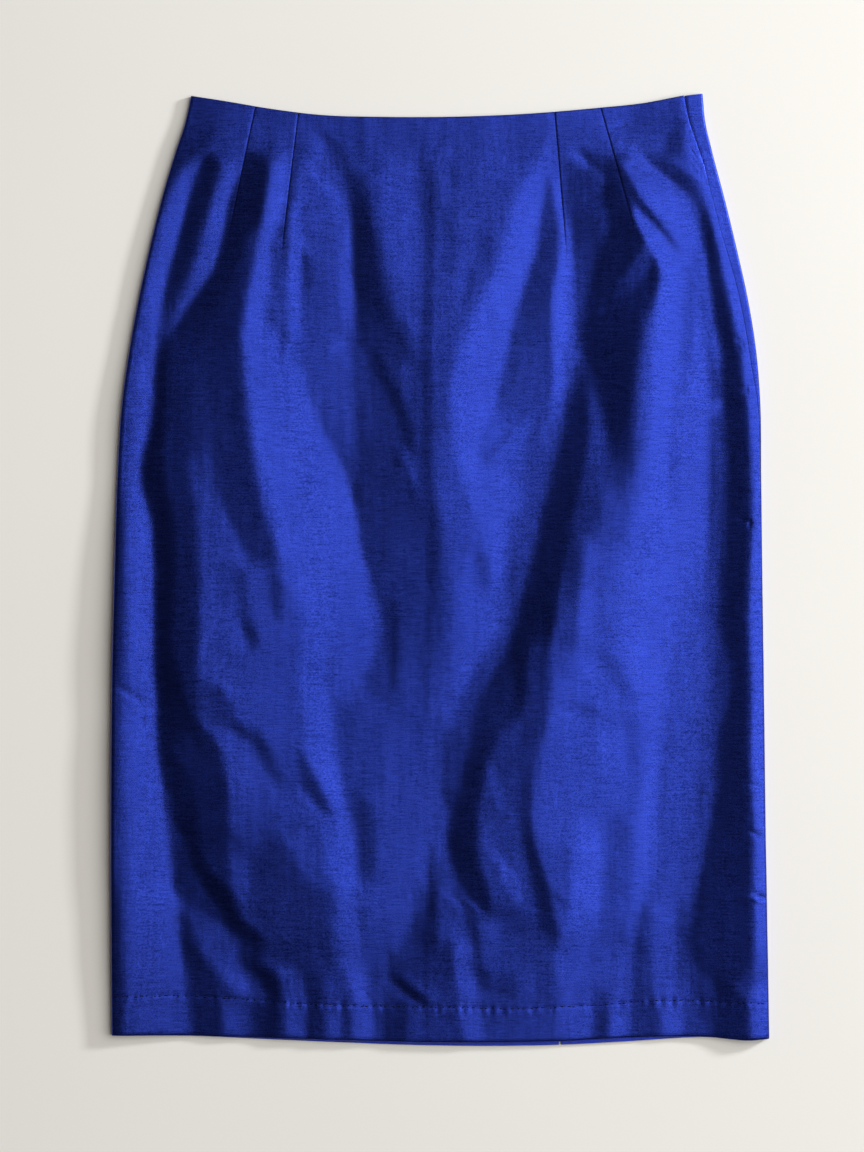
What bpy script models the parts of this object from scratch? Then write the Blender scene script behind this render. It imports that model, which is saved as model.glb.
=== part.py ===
"""A pencil skirt in plain silk, lying flat on its back with the waist towards +Y.

Front and back are one flattened ring of cloth, cut at two side seams. The hems are turned up inside,
and a concealed zip lies under the right side seam. Sizes and tables are in millimetres.
"""

import math
from collections import namedtuple

import bmesh
import bpy

MM = 0.001

# Cloth
WALL = 1.0
SEAM_GAP = 0.4
LAYER_GAP = 0.3
HEM_DEPTH = 26.5
HEM_LIFT = 0.8  # the turned-up layer starts this far above the fold of the hem

# How the ring lies
FOLD_RADIUS = 2.6  # of each side fold, to the outer face
SETTLE = 9.0  # the front leaves the height of a side fold within this distance
VALLEY = 3.3  # height of the front's outer face between its folds
HIGHEST = 5.9
HEM_HEIGHT = 5.05  # four layers and the gaps between them
HEM_RELIEF = 0.2  # share of each fold's height that is left at the stiff hem
HEM_EASE = 34.0  # the folds come back to their full height over this distance
BACK_DROP = 2.5  # the back of the waist lies this far below the front's edge
UNDER_LAP = 3.0  # the left seam lies this far under the skirt

# Sewing
DART_HALF_WIDTH = 1.3
DART_DEPTH = 0.6
SLIT_X = 89.0
SLIT_WIDTH = 1.0
SLIT_DEPTH = 12.0

# Zip
ZIP_LENGTH = 180.0
ZIP_START = 3.0
ZIP_LEFT = 11.0
ZIP_RIGHT = 8.0
SLIDER_SIZE = (4.5, 9.0, 1.1)
SLIDER_DOWN = 9.0
TAB_SIZE = (2.6, 14.0, 0.9)
BEVEL = 0.25

# The two sides of the laid skirt at each height along it
Side = namedtuple("Side", "y left right")
SIDES = [
    Side(353.2, -184.6, 195.0),
    Side(332.0, -189.2, 197.0),
    Side(311.0, -196.0, 201.8),
    Side(274.0, -207.0, 211.5),
    Side(237.0, -216.0, 220.4),
    Side(200.0, -224.1, 228.5),
    Side(163.0, -230.8, 234.5),
    Side(126.0, -236.0, 237.6),
    Side(70.0, -239.7, 238.4),
    Side(0.0, -241.8, 239.3),
    Side(-80.0, -243.7, 240.5),
    Side(-210.0, -244.5, 242.0),
    Side(-346.8, -243.8, 244.5),
]

Edge = namedtuple("Edge", "x y")
WAIST = [
    Edge(-186.0, 351.4),
    Edge(-160.0, 347.3),
    Edge(-125.0, 341.4),
    Edge(-90.0, 337.1),
    Edge(-40.0, 335.5),
    Edge(20.0, 335.9),
    Edge(62.0, 337.7),
    Edge(116.0, 342.1),
    Edge(151.0, 345.8),
    Edge(187.0, 352.2),
    Edge(196.0, 353.2),
]
FRONT_HEM = [
    Edge(-245.0, -344.6),
    Edge(-200.0, -344.8),
    Edge(-110.0, -347.2),
    Edge(-20.0, -349.6),
    Edge(40.0, -350.0),
    Edge(90.0, -349.1),
    Edge(143.0, -346.4),
    Edge(200.0, -346.0),
    Edge(231.0, -348.0),
    Edge(245.0, -346.8),
]
BACK_HEM = [
    Edge(-245.0, -344.6),
    Edge(-180.0, -345.8),
    Edge(-125.0, -347.9),
    Edge(-74.0, -350.2),
    Edge(-12.0, -352.6),
    Edge(40.0, -353.2),
    Edge(86.0, -352.5),
    Edge(139.0, -349.5),
    Edge(185.0, -346.8),
    Edge(245.0, -346.8),
]

# Right side seam: its inset along the cloth from the side fold, over the top or, below zero, underneath
Seam = namedtuple("Seam", "y inset")
SEAM = [
    Seam(353.0, 13.5),
    Seam(328.0, 13.7),
    Seam(300.0, 11.5),
    Seam(274.0, 9.2),
    Seam(216.0, 8.3),
    Seam(152.0, 6.7),
    Seam(110.0, 5.2),
    Seam(70.0, 3.6),
    Seam(40.0, 1.0),
    Seam(10.0, -4.0),
    Seam(-30.0, -7.0),
    Seam(-347.0, -7.0),
]

# Lines down the front that its columns of faces follow: four darts and the pressed centre
Line = namedtuple("Line", "waist tip tip_y hem dart columns_before")
LINES = [
    Line(-137.3, -156.6, 250.0, -168.0, True, 4),
    Line(-105.4, -116.8, 243.0, -112.0, True, 3),
    Line(-11.0, -9.0, 240.0, -6.0, False, 6),
    Line(84.9, 93.5, 238.0, 84.0, True, 6),
    Line(119.2, 142.2, 258.0, 152.0, True, 4),
]
COLUMNS_TO_SHOULDER = 5
SHOULDER = 8.0  # the front's last stretch before the right seam
ROUND_THE_FOLD = 12.0  # it starts at least this far in, so that it holds the whole fold

# Folds of the front. Each crosses a height from its left foot over its crest to its right foot
Fold = namedtuple("Fold", "y left crest right height")
FOLDS = {
    "left side": [
        Fold(352.0, -205.0, -178.0, -160.0, 1.9),
        Fold(280.0, -225.0, -200.0, -186.0, 1.9),
        Fold(200.0, -243.0, -218.0, -204.0, 1.9),
        Fold(80.0, -260.0, -234.0, -216.0, 1.9),
        Fold(0.0, -262.0, -236.0, -209.0, 1.9),
        Fold(-120.0, -264.0, -238.0, -202.0, 1.9),
        Fold(-240.0, -264.0, -238.0, -194.0, 1.9),
        Fold(-347.0, -264.0, -238.0, -186.0, 1.9),
    ],
    "outer left tuck": [
        Fold(312.0, -178.0, -165.0, -150.0, 0.0),
        Fold(290.0, -178.0, -167.0, -152.0, 1.2),
        Fold(255.0, -188.0, -177.0, -161.0, 1.7),
        Fold(220.0, -198.0, -187.0, -171.0, 1.6),
        Fold(180.0, -210.0, -203.0, -192.0, 0.0),
    ],
    "long left fold": [
        Fold(325.0, -150.0, -128.0, -108.0, 0.0),
        Fold(290.0, -152.0, -128.0, -88.0, 2.0),
        Fold(240.0, -165.0, -137.0, -68.0, 2.4),
        Fold(200.0, -184.0, -147.0, -65.0, 2.4),
        Fold(150.0, -212.0, -150.0, -62.0, 2.5),
        Fold(100.0, -214.0, -142.0, -62.0, 2.5),
        Fold(40.0, -178.0, -124.0, -57.0, 2.3),
        Fold(-20.0, -146.0, -104.0, -47.0, 2.2),
        Fold(-80.0, -132.0, -93.0, -50.0, 1.8),
        Fold(-160.0, -108.0, -79.0, -56.0, 1.4),
        Fold(-250.0, -96.0, -68.0, -50.0, 1.2),
        Fold(-347.0, -80.0, -58.0, -44.0, 1.0),
    ],
    "left shoulder": [
        Fold(110.0, -216.0, -186.0, -150.0, 0.0),
        Fold(60.0, -216.0, -184.0, -146.0, 1.8),
        Fold(0.0, -210.0, -178.0, -130.0, 2.0),
        Fold(-70.0, -209.0, -175.0, -116.0, 2.0),
        Fold(-120.0, -203.0, -166.0, -112.0, 1.8),
        Fold(-180.0, -200.0, -156.0, -104.0, 1.7),
        Fold(-240.0, -196.0, -142.0, -90.0, 1.7),
        Fold(-300.0, -160.0, -118.0, -88.0, 1.8),
        Fold(-347.0, -146.0, -110.0, -90.0, 1.6),
    ],
    "centre": [
        Fold(318.0, -70.0, -10.0, 84.0, 0.0),
        Fold(280.0, -70.0, -8.0, 86.0, 1.2),
        Fold(220.0, -64.0, 0.0, 78.0, 1.7),
        Fold(150.0, -62.0, 0.0, 54.0, 2.2),
        Fold(90.0, -60.0, 2.0, 66.0, 2.3),
        Fold(30.0, -58.0, 4.0, 66.0, 2.0),
        Fold(-40.0, -42.0, 10.0, 50.0, 1.6),
        Fold(-100.0, -44.0, -4.0, 26.0, 1.0),
        Fold(-170.0, -48.0, -22.0, 8.0, 0.7),
        Fold(-260.0, -48.0, -24.0, -4.0, 0.5),
        Fold(-347.0, -44.0, -20.0, 0.0, 0.4),
    ],
    "inner right dart": [
        Fold(290.0, 82.0, 90.0, 102.0, 0.0),
        Fold(220.0, 72.0, 86.0, 106.0, 1.0),
        Fold(160.0, 54.0, 84.0, 108.0, 1.3),
        Fold(110.0, 44.0, 80.0, 98.0, 0.9),
        Fold(60.0, 40.0, 66.0, 84.0, 0.0),
    ],
    "long right fold": [
        Fold(325.0, 104.0, 128.0, 158.0, 0.0),
        Fold(285.0, 116.0, 152.0, 186.0, 1.8),
        Fold(240.0, 112.0, 153.0, 199.0, 2.5),
        Fold(200.0, 104.0, 158.0, 204.0, 2.6),
        Fold(150.0, 104.0, 152.0, 208.0, 2.6),
        Fold(100.0, 90.0, 147.0, 208.0, 2.6),
        Fold(50.0, 78.0, 126.0, 204.0, 2.4),
        Fold(0.0, 64.0, 102.0, 196.0, 2.4),
        Fold(-60.0, 44.0, 88.0, 196.0, 2.3),
        Fold(-110.0, 22.0, 68.0, 198.0, 2.1),
        Fold(-170.0, 10.0, 62.0, 198.0, 1.9),
        Fold(-230.0, 2.0, 80.0, 190.0, 1.7),
        Fold(-347.0, 0.0, 92.0, 184.0, 1.4),
    ],
    "right side": [
        Fold(353.0, 150.0, 184.0, 240.0, 2.5),
        Fold(325.0, 152.0, 187.0, 240.0, 2.5),
        Fold(290.0, 166.0, 196.0, 244.0, 2.5),
        Fold(250.0, 190.0, 207.0, 254.0, 2.5),
        Fold(200.0, 202.0, 217.0, 260.0, 2.5),
        Fold(120.0, 208.0, 227.0, 270.0, 2.5),
        Fold(0.0, 198.0, 229.0, 270.0, 2.6),
        Fold(-100.0, 200.0, 230.0, 272.0, 2.6),
        Fold(-200.0, 198.0, 231.0, 272.0, 2.6),
        Fold(-280.0, 184.0, 231.0, 274.0, 2.6),
        Fold(-347.0, 188.0, 232.0, 276.0, 2.6),
    ],
}

# Rows of faces up the skirt
PANEL_ROWS = 30
ZIP_ROWS = 10
HEM_ROWS = 3
BACK_COLUMNS = 10
SEAM_COLUMNS = 9  # of the front, from its shoulder to the right seam
WRAP_COLUMNS = 11  # of the back, from the right seam round to its flat underside
ARC_STEPS = 3  # faces in each quarter turn of the left fold

SILK_COLOUR = (0.028, 0.062, 0.52, 1.0)
TAPE_COLOUR = (0.02, 0.035, 0.26, 1.0)
ENAMEL_COLOUR = (0.02, 0.035, 0.26, 1.0)

QUARTER = FOLD_RADIUS * math.pi / 2


def read(rows, at):
    """The row of a table at a place between its rows, along smooth curves through them."""
    rows = sorted(rows)
    at = min(max(at, rows[0][0]), rows[-1][0])
    index = 0
    while index < len(rows) - 2 and rows[index + 1][0] < at:
        index += 1
    low, high = rows[index], rows[index + 1]
    before, after = rows[max(index - 1, 0)], rows[min(index + 2, len(rows) - 1)]
    span = high[0] - low[0]
    t = (at - low[0]) / span
    values = [at]
    for column in range(1, len(low)):
        start = (high[column] - before[column]) / (high[0] - before[0]) * span
        end = (after[column] - low[column]) / (after[0] - low[0]) * span
        values.append(
            (2 * t**3 - 3 * t**2 + 1) * low[column]
            + (t**3 - 2 * t**2 + t) * start
            + (3 * t**2 - 2 * t**3) * high[column]
            + (t**3 - t**2) * end
        )
    return type(low)(*values)


def mix(start, end, share):
    return start + (end - start) * share


def ease(share):
    share = min(max(share, 0.0), 1.0)
    return share * share * (3 - 2 * share)


def relief(x, y):
    """How far the folds lift the front above its valleys."""
    total = 0.0
    for rows in FOLDS.values():
        fold = read(rows, y)
        if fold.left < x <= fold.crest:
            total += max(fold.height, 0.0) * ease((x - fold.left) / (fold.crest - fold.left))
        elif fold.crest < x < fold.right:
            total += max(fold.height, 0.0) * ease((fold.right - x) / (fold.right - fold.crest))
    return total


def dart_line(line, y):
    """Where a dart, and the straight grain below its tip, crosses this height."""
    waist_y = read(WAIST, line.waist).y
    if y >= line.tip_y:
        return mix(line.tip, line.waist, (y - line.tip_y) / (waist_y - line.tip_y))
    hem_y = read(FRONT_HEM, line.hem).y
    return mix(line.hem, line.tip, ease((y - hem_y) / (line.tip_y - hem_y)))


def dart_groove(x, y):
    """The sewn line of a dart, sunk into the cloth and fading out at its tip."""
    sunk = 0.0
    for line in LINES:
        if not line.dart or y < line.tip_y:
            continue
        near = 1 - abs(x - dart_line(line, y)) / DART_HALF_WIDTH
        sunk += DART_DEPTH * max(near, 0.0) * min((y - line.tip_y) / 30.0, 1.0)
    return sunk


def top_height(x, y):
    """Height of the front's outer face."""
    height = min(VALLEY + relief(x, y), HIGHEST)
    above_hem = y - read(FRONT_HEM, x).y
    loose = ease((above_hem - HEM_DEPTH) / HEM_EASE)
    height = mix(HEM_HEIGHT + HEM_RELIEF * (height - VALLEY), height, loose)
    side = read(SIDES, y)
    inside = min(x - side.left, side.right - x) - FOLD_RADIUS
    return mix(2 * FOLD_RADIUS, height, ease(inside / SETTLE)) - dart_groove(x, y)


def side_x(which, inset, y):
    """X at an inset along the cloth from a side fold's outermost line."""
    side = read(SIDES, y)
    edge, inward = (side.left, 1) if which == "left" else (side.right, -1)
    if abs(inset) > QUARTER:
        return edge + inward * (FOLD_RADIUS + abs(inset) - QUARTER)
    return edge + inward * FOLD_RADIUS * (1 - math.cos(inset / FOLD_RADIUS))


def side_point(which, inset, y, depth):
    """A point near a side fold: a positive inset is over the top, a negative one underneath."""
    x = side_x(which, inset, y)
    if inset > QUARTER:
        return x, y, top_height(x, y) - depth
    if inset < -QUARTER:
        return x, y, depth
    side = read(SIDES, y)
    edge, inward = (side.left, 1) if which == "left" else (side.right, -1)
    reach = FOLD_RADIUS - depth
    turn = inset / FOLD_RADIUS
    return (
        edge + inward * (FOLD_RADIUS - reach * math.cos(turn)),
        y,
        FOLD_RADIUS + reach * math.sin(turn),
    )


def seam_inset(y):
    return read(SEAM, y).inset


def shoulder_inset(y):
    return max(seam_inset(y) + SHOULDER, ROUND_THE_FOLD)


def row_y(share, x, hem):
    """Y of a row at this share of the way from hem to waist."""
    return mix(read(hem, x).y, read(WAIST, x).y, share)


def arc(start, end, steps):
    return [mix(start, end, step / steps) for step in range(steps + 1)]


def front_columns():
    """One function for each column of the front: it gives the point at a share of the way up."""
    columns = []

    def on_left_fold(inset):
        def place(share, depth):
            y = row_y(share, read(SIDES, 0).left, FRONT_HEM)
            return side_point("left", inset, y, depth)

        return place

    def between(left_x, right_x, part):
        def place(share, depth):
            y = row_y(share, 0.0, FRONT_HEM)
            for _ in range(4):
                x = mix(left_x(y), right_x(y), part)
                y = row_y(share, x, FRONT_HEM)
            return x, y, top_height(x, y) - depth

        return place

    def near_seam(part):
        def place(share, depth):
            y = row_y(share, read(SIDES, 0).right, FRONT_HEM)
            for _ in range(4):
                inset = mix(shoulder_inset(y), seam_inset(y) + SEAM_GAP / 2, part)
                y = row_y(share, side_x("right", inset, y), FRONT_HEM)
            return side_point("right", inset, y, depth)

        return place

    def beside(line, offset):
        return lambda y: dart_line(line, y) + offset

    columns.append(on_left_fold(-QUARTER - UNDER_LAP))
    columns.extend(on_left_fold(inset) for inset in arc(-QUARTER, QUARTER, 2 * ARC_STEPS))
    previous = lambda y: side_x("left", QUARTER, y)
    for line in LINES:
        offsets = (-DART_HALF_WIDTH, 0.0, DART_HALF_WIDTH) if line.dart else (0.0,)
        for step in range(1, line.columns_before):
            columns.append(between(previous, beside(line, offsets[0]), step / line.columns_before))
        for offset in offsets:
            columns.append(between(beside(line, offset), beside(line, offset), 0.0))
        previous = beside(line, offsets[-1])
    shoulder = lambda y: side_x("right", shoulder_inset(y), y)
    for step in range(1, COLUMNS_TO_SHOULDER):
        columns.append(between(previous, shoulder, step / COLUMNS_TO_SHOULDER))
    columns.extend(near_seam(step / SEAM_COLUMNS) for step in range(SEAM_COLUMNS + 1))
    return columns


def back_columns():
    """The back's columns, from the right side seam round the right fold and under to the left seam."""

    def round_fold(part):
        def place(share, depth):
            y = row_y(share, read(SIDES, 0).right, FRONT_HEM)
            for _ in range(4):
                inset = mix(seam_inset(y) - SEAM_GAP / 2, -ROUND_THE_FOLD, part)
                y = row_y(share, side_x("right", inset, y), FRONT_HEM)
            return side_point("right", inset, y, depth)

        return place

    def flat(part):
        def place(share, depth):
            y = row_y(share, 0.0, BACK_HEM)
            for _ in range(4):
                right_x = side_x("right", -ROUND_THE_FOLD, y)
                left_x = side_x("left", -QUARTER - UNDER_LAP - SEAM_GAP, y)
                x = mix(right_x, left_x, part)
                drop = BACK_DROP * math.sin(math.pi * part) * share
                y = row_y(share, x, BACK_HEM) - drop
            return x, y, depth

        return place

    columns = [round_fold(step / WRAP_COLUMNS) for step in range(WRAP_COLUMNS)]
    columns += [flat(step / BACK_COLUMNS) for step in range(BACK_COLUMNS + 1)]
    return columns


def panel_shares():
    """Shares of the way up for a panel's rows, with close rows through the hem."""
    length = read(WAIST, 0).y - read(FRONT_HEM, 0).y
    hem = HEM_DEPTH / length
    through_hem = [hem * step / HEM_ROWS for step in range(HEM_ROWS)]
    return through_hem + arc(hem, 1.0, PANEL_ROWS - HEM_ROWS)


def hem_shares():
    """Shares of the way up for the turned-up layer, on the panel's own rows."""
    length = read(WAIST, 0).y - read(FRONT_HEM, 0).y
    steps = range(1, HEM_ROWS + 1)
    return [HEM_LIFT / length] + [HEM_DEPTH / length * step / HEM_ROWS for step in steps]


def surface(name, colour, roughness, metallic):
    material = bpy.data.materials.new(name)
    material.use_nodes = True
    shader = material.node_tree.nodes["Principled BSDF"]
    shader.inputs["Base Color"].default_value = colour
    shader.inputs["Roughness"].default_value = roughness
    shader.inputs["Metallic"].default_value = metallic
    material.diffuse_color = colour
    return material


def cloth(name, columns, shares, depth, collection, material):
    """A wall of cloth: two skins lofted through the columns' points, joined along their edges."""
    wide, high = len(columns), len(shares)
    sheet = bmesh.new()
    skins = []
    for skin_depth in (depth, depth + WALL):
        points = [place(share, skin_depth) for share in shares for place in columns]
        skins.append([sheet.verts.new([value * MM for value in point]) for point in points])
    outer, inner = skins
    for row in range(high - 1):
        for column in range(wide - 1):
            at = row * wide + column
            corners = (at, at + 1, at + wide + 1, at + wide)
            sheet.faces.new([outer[corner] for corner in corners])
            sheet.faces.new([inner[corner] for corner in reversed(corners)])
    bottom = list(range(wide))
    right = [row * wide + wide - 1 for row in range(1, high)]
    top = [(high - 1) * wide + column for column in range(wide - 2, -1, -1)]
    left = [row * wide for row in range(high - 2, 0, -1)]
    rim = bottom + right + top + left
    for here, after in zip(rim, rim[1:] + rim[:1]):
        sheet.faces.new([outer[after], outer[here], inner[here], inner[after]])
    mesh = bpy.data.meshes.new(name)
    sheet.to_mesh(mesh)
    sheet.free()
    mesh.shade_smooth()
    mesh.set_sharp_from_angle(angle=math.radians(60))
    mesh.materials.append(material)
    piece = bpy.data.objects.new(name, mesh)
    collection.objects.link(piece)
    return piece


def zip_columns():
    """The zip tape's columns, on each side of the right side seam."""

    def across(part):
        def place(share, depth):
            y = read(WAIST, 184.0).y - ZIP_START - ZIP_LENGTH * (1 - share)
            seam_x = side_x("right", seam_inset(y), y)
            right_x = min(seam_x + ZIP_RIGHT, side_x("right", QUARTER, y) - 0.5)
            x = mix(seam_x, right_x, part) if part > 0 else seam_x + ZIP_LEFT * part
            return x, y, top_height(x, y) - depth

        return place

    return [across(part) for part in (-1.0, -0.66, -0.33, 0.0, 0.5, 1.0)]


def box(name, size, centre, collection):
    solid = bmesh.new()
    bmesh.ops.create_cube(solid, size=1.0)
    bmesh.ops.scale(solid, vec=[side * MM for side in size], verts=solid.verts)
    mesh = bpy.data.meshes.new(name)
    solid.to_mesh(mesh)
    solid.free()
    piece = bpy.data.objects.new(name, mesh)
    piece.location = [value * MM for value in centre]
    collection.objects.link(piece)
    return piece


def zip_slider(collection, cutters, material):
    """The slider with its flat tab, lying between the tape and the back of the skirt."""
    y = read(WAIST, 184.0).y - SLIDER_DOWN
    x = side_x("right", seam_inset(y), y)
    under_tape = top_height(x, y) - 2 * WALL - 2 * LAYER_GAP
    z = under_tape - LAYER_GAP - SLIDER_SIZE[2] / 2
    slider = box("zip_slider", SLIDER_SIZE, (x, y, z), collection)
    slider.data.materials.append(material)
    tab_centre = (x, y - SLIDER_SIZE[1] / 2 - TAB_SIZE[1] / 2 + BEVEL * 4, z)
    tab = box("zip_tab_shape", TAB_SIZE, tab_centre, cutters)
    tab.data.materials.append(material)
    tab.hide_render = True
    tab.display_type = "WIRE"
    join = slider.modifiers.new("tab", "BOOLEAN")
    join.operation = "UNION"
    join.object = tab
    edges = slider.modifiers.new("edges", "BEVEL")
    edges.width = BEVEL * MM
    edges.segments = 1
    return slider


def cut_slit(pieces, cutters):
    """A short slit up through the back's hem."""
    hem_y = read(BACK_HEM, SLIT_X).y
    size = (SLIT_WIDTH, 2 * SLIT_DEPTH, 2 * FOLD_RADIUS)
    cutter = box("hem_slit_shape", size, (SLIT_X, hem_y, 0.0), cutters)
    cutter.hide_render = True
    cutter.display_type = "WIRE"
    for piece in pieces:
        cut = piece.modifiers.new("slit", "BOOLEAN")
        cut.operation = "DIFFERENCE"
        cut.object = cutter


def main():
    for thing in list(bpy.data.objects):
        bpy.data.objects.remove(thing, do_unlink=True)
    skirt = bpy.data.collections.new("pencil_skirt")
    cutters = bpy.data.collections.new("cutters")
    bpy.context.scene.collection.children.link(skirt)
    bpy.context.scene.collection.children.link(cutters)

    front_silk = surface("front_silk", SILK_COLOUR, 0.38, 0.55)
    back_silk = surface("back_silk", SILK_COLOUR, 0.42, 0.5)
    hem_silk = surface("hem_silk", SILK_COLOUR, 0.5, 0.4)
    tape = surface("zip_tape", TAPE_COLOUR, 0.8, 0.0)
    enamel = surface("zip_enamel", ENAMEL_COLOUR, 0.35, 0.0)

    inside = WALL + LAYER_GAP
    front = front_columns()
    back = back_columns()
    cloth("front_panel", front, panel_shares(), 0.0, skirt, front_silk)
    back_panel = cloth("back_panel", back, panel_shares(), 0.0, skirt, back_silk)
    cloth("front_hem", front, hem_shares(), inside, skirt, hem_silk)
    back_hem = cloth("back_hem", back, hem_shares(), inside, skirt, hem_silk)
    cloth("side_zip", zip_columns(), arc(0.0, 1.0, ZIP_ROWS), inside, skirt, tape)
    zip_slider(skirt, cutters, enamel)
    cut_slit([back_panel, back_hem], cutters)


main()
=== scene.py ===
"""Looks of the pencil skirt: crisp royal-blue silk with slubs, laid flat on a pale floor.

Lengths here are in millimetres, and become metres where a mesh is made. The front's folds are given
as strips of cloth that lean left or right, and its height is the smoothest surface that leans so.
"""

import math
from collections import namedtuple

import bpy
import numpy as np
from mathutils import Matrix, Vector


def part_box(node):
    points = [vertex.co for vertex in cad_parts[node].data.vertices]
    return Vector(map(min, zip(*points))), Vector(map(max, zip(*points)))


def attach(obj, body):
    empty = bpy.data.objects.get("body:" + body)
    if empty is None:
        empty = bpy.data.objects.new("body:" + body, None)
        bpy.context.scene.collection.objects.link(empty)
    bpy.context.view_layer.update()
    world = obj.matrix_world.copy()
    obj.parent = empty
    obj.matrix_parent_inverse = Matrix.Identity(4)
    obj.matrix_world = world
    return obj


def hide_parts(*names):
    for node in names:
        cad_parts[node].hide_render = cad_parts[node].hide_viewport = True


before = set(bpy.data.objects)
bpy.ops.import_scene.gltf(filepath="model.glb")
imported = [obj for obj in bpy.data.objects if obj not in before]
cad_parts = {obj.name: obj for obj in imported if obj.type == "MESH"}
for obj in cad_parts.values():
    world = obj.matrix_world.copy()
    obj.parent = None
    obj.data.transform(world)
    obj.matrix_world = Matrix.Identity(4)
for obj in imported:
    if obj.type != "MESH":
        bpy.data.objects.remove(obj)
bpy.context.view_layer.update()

MM = 0.001

# ---------------------------------------------------------------- outline and lines, as seen from above

Side = namedtuple("Side", "y left right")
Edge = namedtuple("Edge", "x y")
SIDES = (
    Side(353.2, -184.6, 195.0), Side(332.0, -189.2, 197.0), Side(311.0, -196.0, 201.8),
    Side(274.0, -207.0, 211.5), Side(237.0, -216.0, 220.4), Side(200.0, -224.1, 228.5),
    Side(163.0, -230.8, 234.5), Side(126.0, -236.0, 237.6), Side(70.0, -239.7, 238.4),
    Side(0.0, -241.8, 239.3), Side(-80.0, -243.7, 240.5), Side(-210.0, -244.5, 242.0),
    Side(-346.8, -243.8, 244.5),
)
WAIST = (
    Edge(-186.0, 351.4), Edge(-160.0, 347.3), Edge(-125.0, 341.4), Edge(-90.0, 337.1), Edge(-40.0, 335.5),
    Edge(20.0, 335.9), Edge(62.0, 337.7), Edge(116.0, 342.1), Edge(151.0, 345.8), Edge(187.0, 352.2),
    Edge(196.0, 353.2),
)
FRONT_HEM = (
    Edge(-245.0, -344.6), Edge(-200.0, -344.8), Edge(-110.0, -347.2), Edge(-20.0, -349.6),
    Edge(40.0, -350.0), Edge(90.0, -349.1), Edge(143.0, -346.4), Edge(200.0, -346.0), Edge(231.0, -348.0),
    Edge(245.0, -346.8),
)
BACK_HEM = (
    Edge(-245.0, -344.6), Edge(-180.0, -346.5), Edge(-125.0, -349.0), Edge(-74.0, -351.2),
    Edge(-12.0, -353.4), Edge(40.0, -353.9), Edge(86.0, -353.2), Edge(139.0, -350.5), Edge(185.0, -347.6),
    Edge(245.0, -346.8),
)
STITCH_LINE = (
    Edge(-245.0, -316.8), Edge(-186.0, -316.5), Edge(-157.0, -318.2), Edge(-129.0, -320.0),
    Edge(-110.5, -321.4), Edge(-56.4, -323.9), Edge(15.0, -324.8), Edge(57.9, -325.8), Edge(95.7, -324.3),
    Edge(124.7, -322.8), Edge(152.9, -320.5), Edge(186.2, -320.0), Edge(216.7, -321.1), Edge(245.0, -321.6),
)
HALF_WAIST, HALF_WIDTH = 190.0, 240.0  # about, as a first guess of where a column lies

# The right seam's way along the cloth from the outermost line of the side fold: inwards over the top, and
# where it is negative, round the fold to the underside
Seam = namedtuple("Seam", "y inset")
SEAM = (
    Seam(353.0, 15.1), Seam(332.0, 12.8), Seam(316.0, 11.1), Seam(300.0, 9.8), Seam(276.0, 10.0),
    Seam(248.0, 9.6), Seam(216.0, 7.7), Seam(176.0, 6.7), Seam(152.0, 5.9), Seam(125.0, 3.2),
    Seam(90.0, 2.0), Seam(60.0, 1.5), Seam(35.0, 0.0), Seam(0.0, -4.0), Seam(-30.0, -8.0),
    Seam(-353.0, -8.0),
)
SEAM_GAP = 0.3
# The seam lies in a groove, shallower below the first height and faded out below the second
SEAM_DEEP, SEAM_SHALLOW, SEAM_GROOVE = 0.4, 0.12, 0.7
SEAM_DEEP_Y, SEAM_DEEP_EASE = 285.0, 15.0
SEAM_FADE_Y, SEAM_FADE_EASE = -20.0, 60.0

# Darts and the front's pressed centre line: their x at waist, tip and hem, how many columns of the mesh lie
# before each, and how deep its groove is and how far it reaches to the left
Line = namedtuple("Line", "waist tip tip_y hem dart columns_before depth reach")
LINES = (
    Line(-137.3, -156.6, 250.0, -168.0, True, 30, 0.16, 0.7),
    Line(-105.4, -116.8, 243.0, -112.0, True, 20, 0.15, 0.5),
    Line(-11.0, -9.0, 240.0, -6.0, False, 55, 0.0, 1.0),
    Line(84.9, 93.5, 238.0, 84.0, True, 53, 0.25, 4.0),
    Line(119.2, 142.2, 258.0, 152.0, True, 26, 0.25, 4.0),
)
DARTS = tuple(line for line in LINES if line.dart)
BACK_DARTS = (
    Line(-112.0, -126.0, 215.0, -130.0, True, 0, 0.35, 0.9),
    Line(102.0, 116.0, 215.0, 120.0, True, 0, 0.35, 0.9),
)
DART_EDGE = 0.4  # how far a front dart's groove reaches to the right
DART_PAST_TIP, DART_FADE = 10.0, 30.0  # where it ends below the tip, and how slowly it fades out

# ---------------------------------------------------------------- sizes

SIDE_REACH = 1.5  # how far in from the outline the round of a side fold ends
QUARTER = SIDE_REACH * math.pi / 2  # and the inset there
UNDER_LAP = 3.0  # how far under the skirt the left seam lies
UNDERSIDE = 0.25  # height of the cloth on the ground
GROUND = 0.1  # height that the turned edges stay above
BASE, LOWEST, MOST = 7.2, 2.4, 15.0  # the front's mean, least and greatest height
HEIGHT_BLEND, MOST_BLENDS = 0.7, 30.0  # past so many blends from a bound the height is no longer blended
# Near an edge the front's mean height is another, and its folds have a share of their own height
WAIST_HEIGHT, WAIST_SHARE, WAIST_EASE = 5.0, 0.55, 45.0
HEM_HEIGHT, HEM_SHARE, HEM_EASE = 5.2, 0.85, 120.0
BACK_DROP = 2.5  # how far the back's waist lies below the front's
HEM_DEPTH = 26.5
HEM_INSIDE = 1.25  # depth of the turned-up hems under the panels' outer faces

SLIT_X, SLIT_TOP, SLIT_WIDTH = 89.2, -341.0, 1.5
SLIT_DRAW, SLIT_OPENS = 26.0, 10.0  # above its top the columns draw in, and below it opens
SLIT_APART = 0.02  # what keeps its edges from meeting at the top

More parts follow.
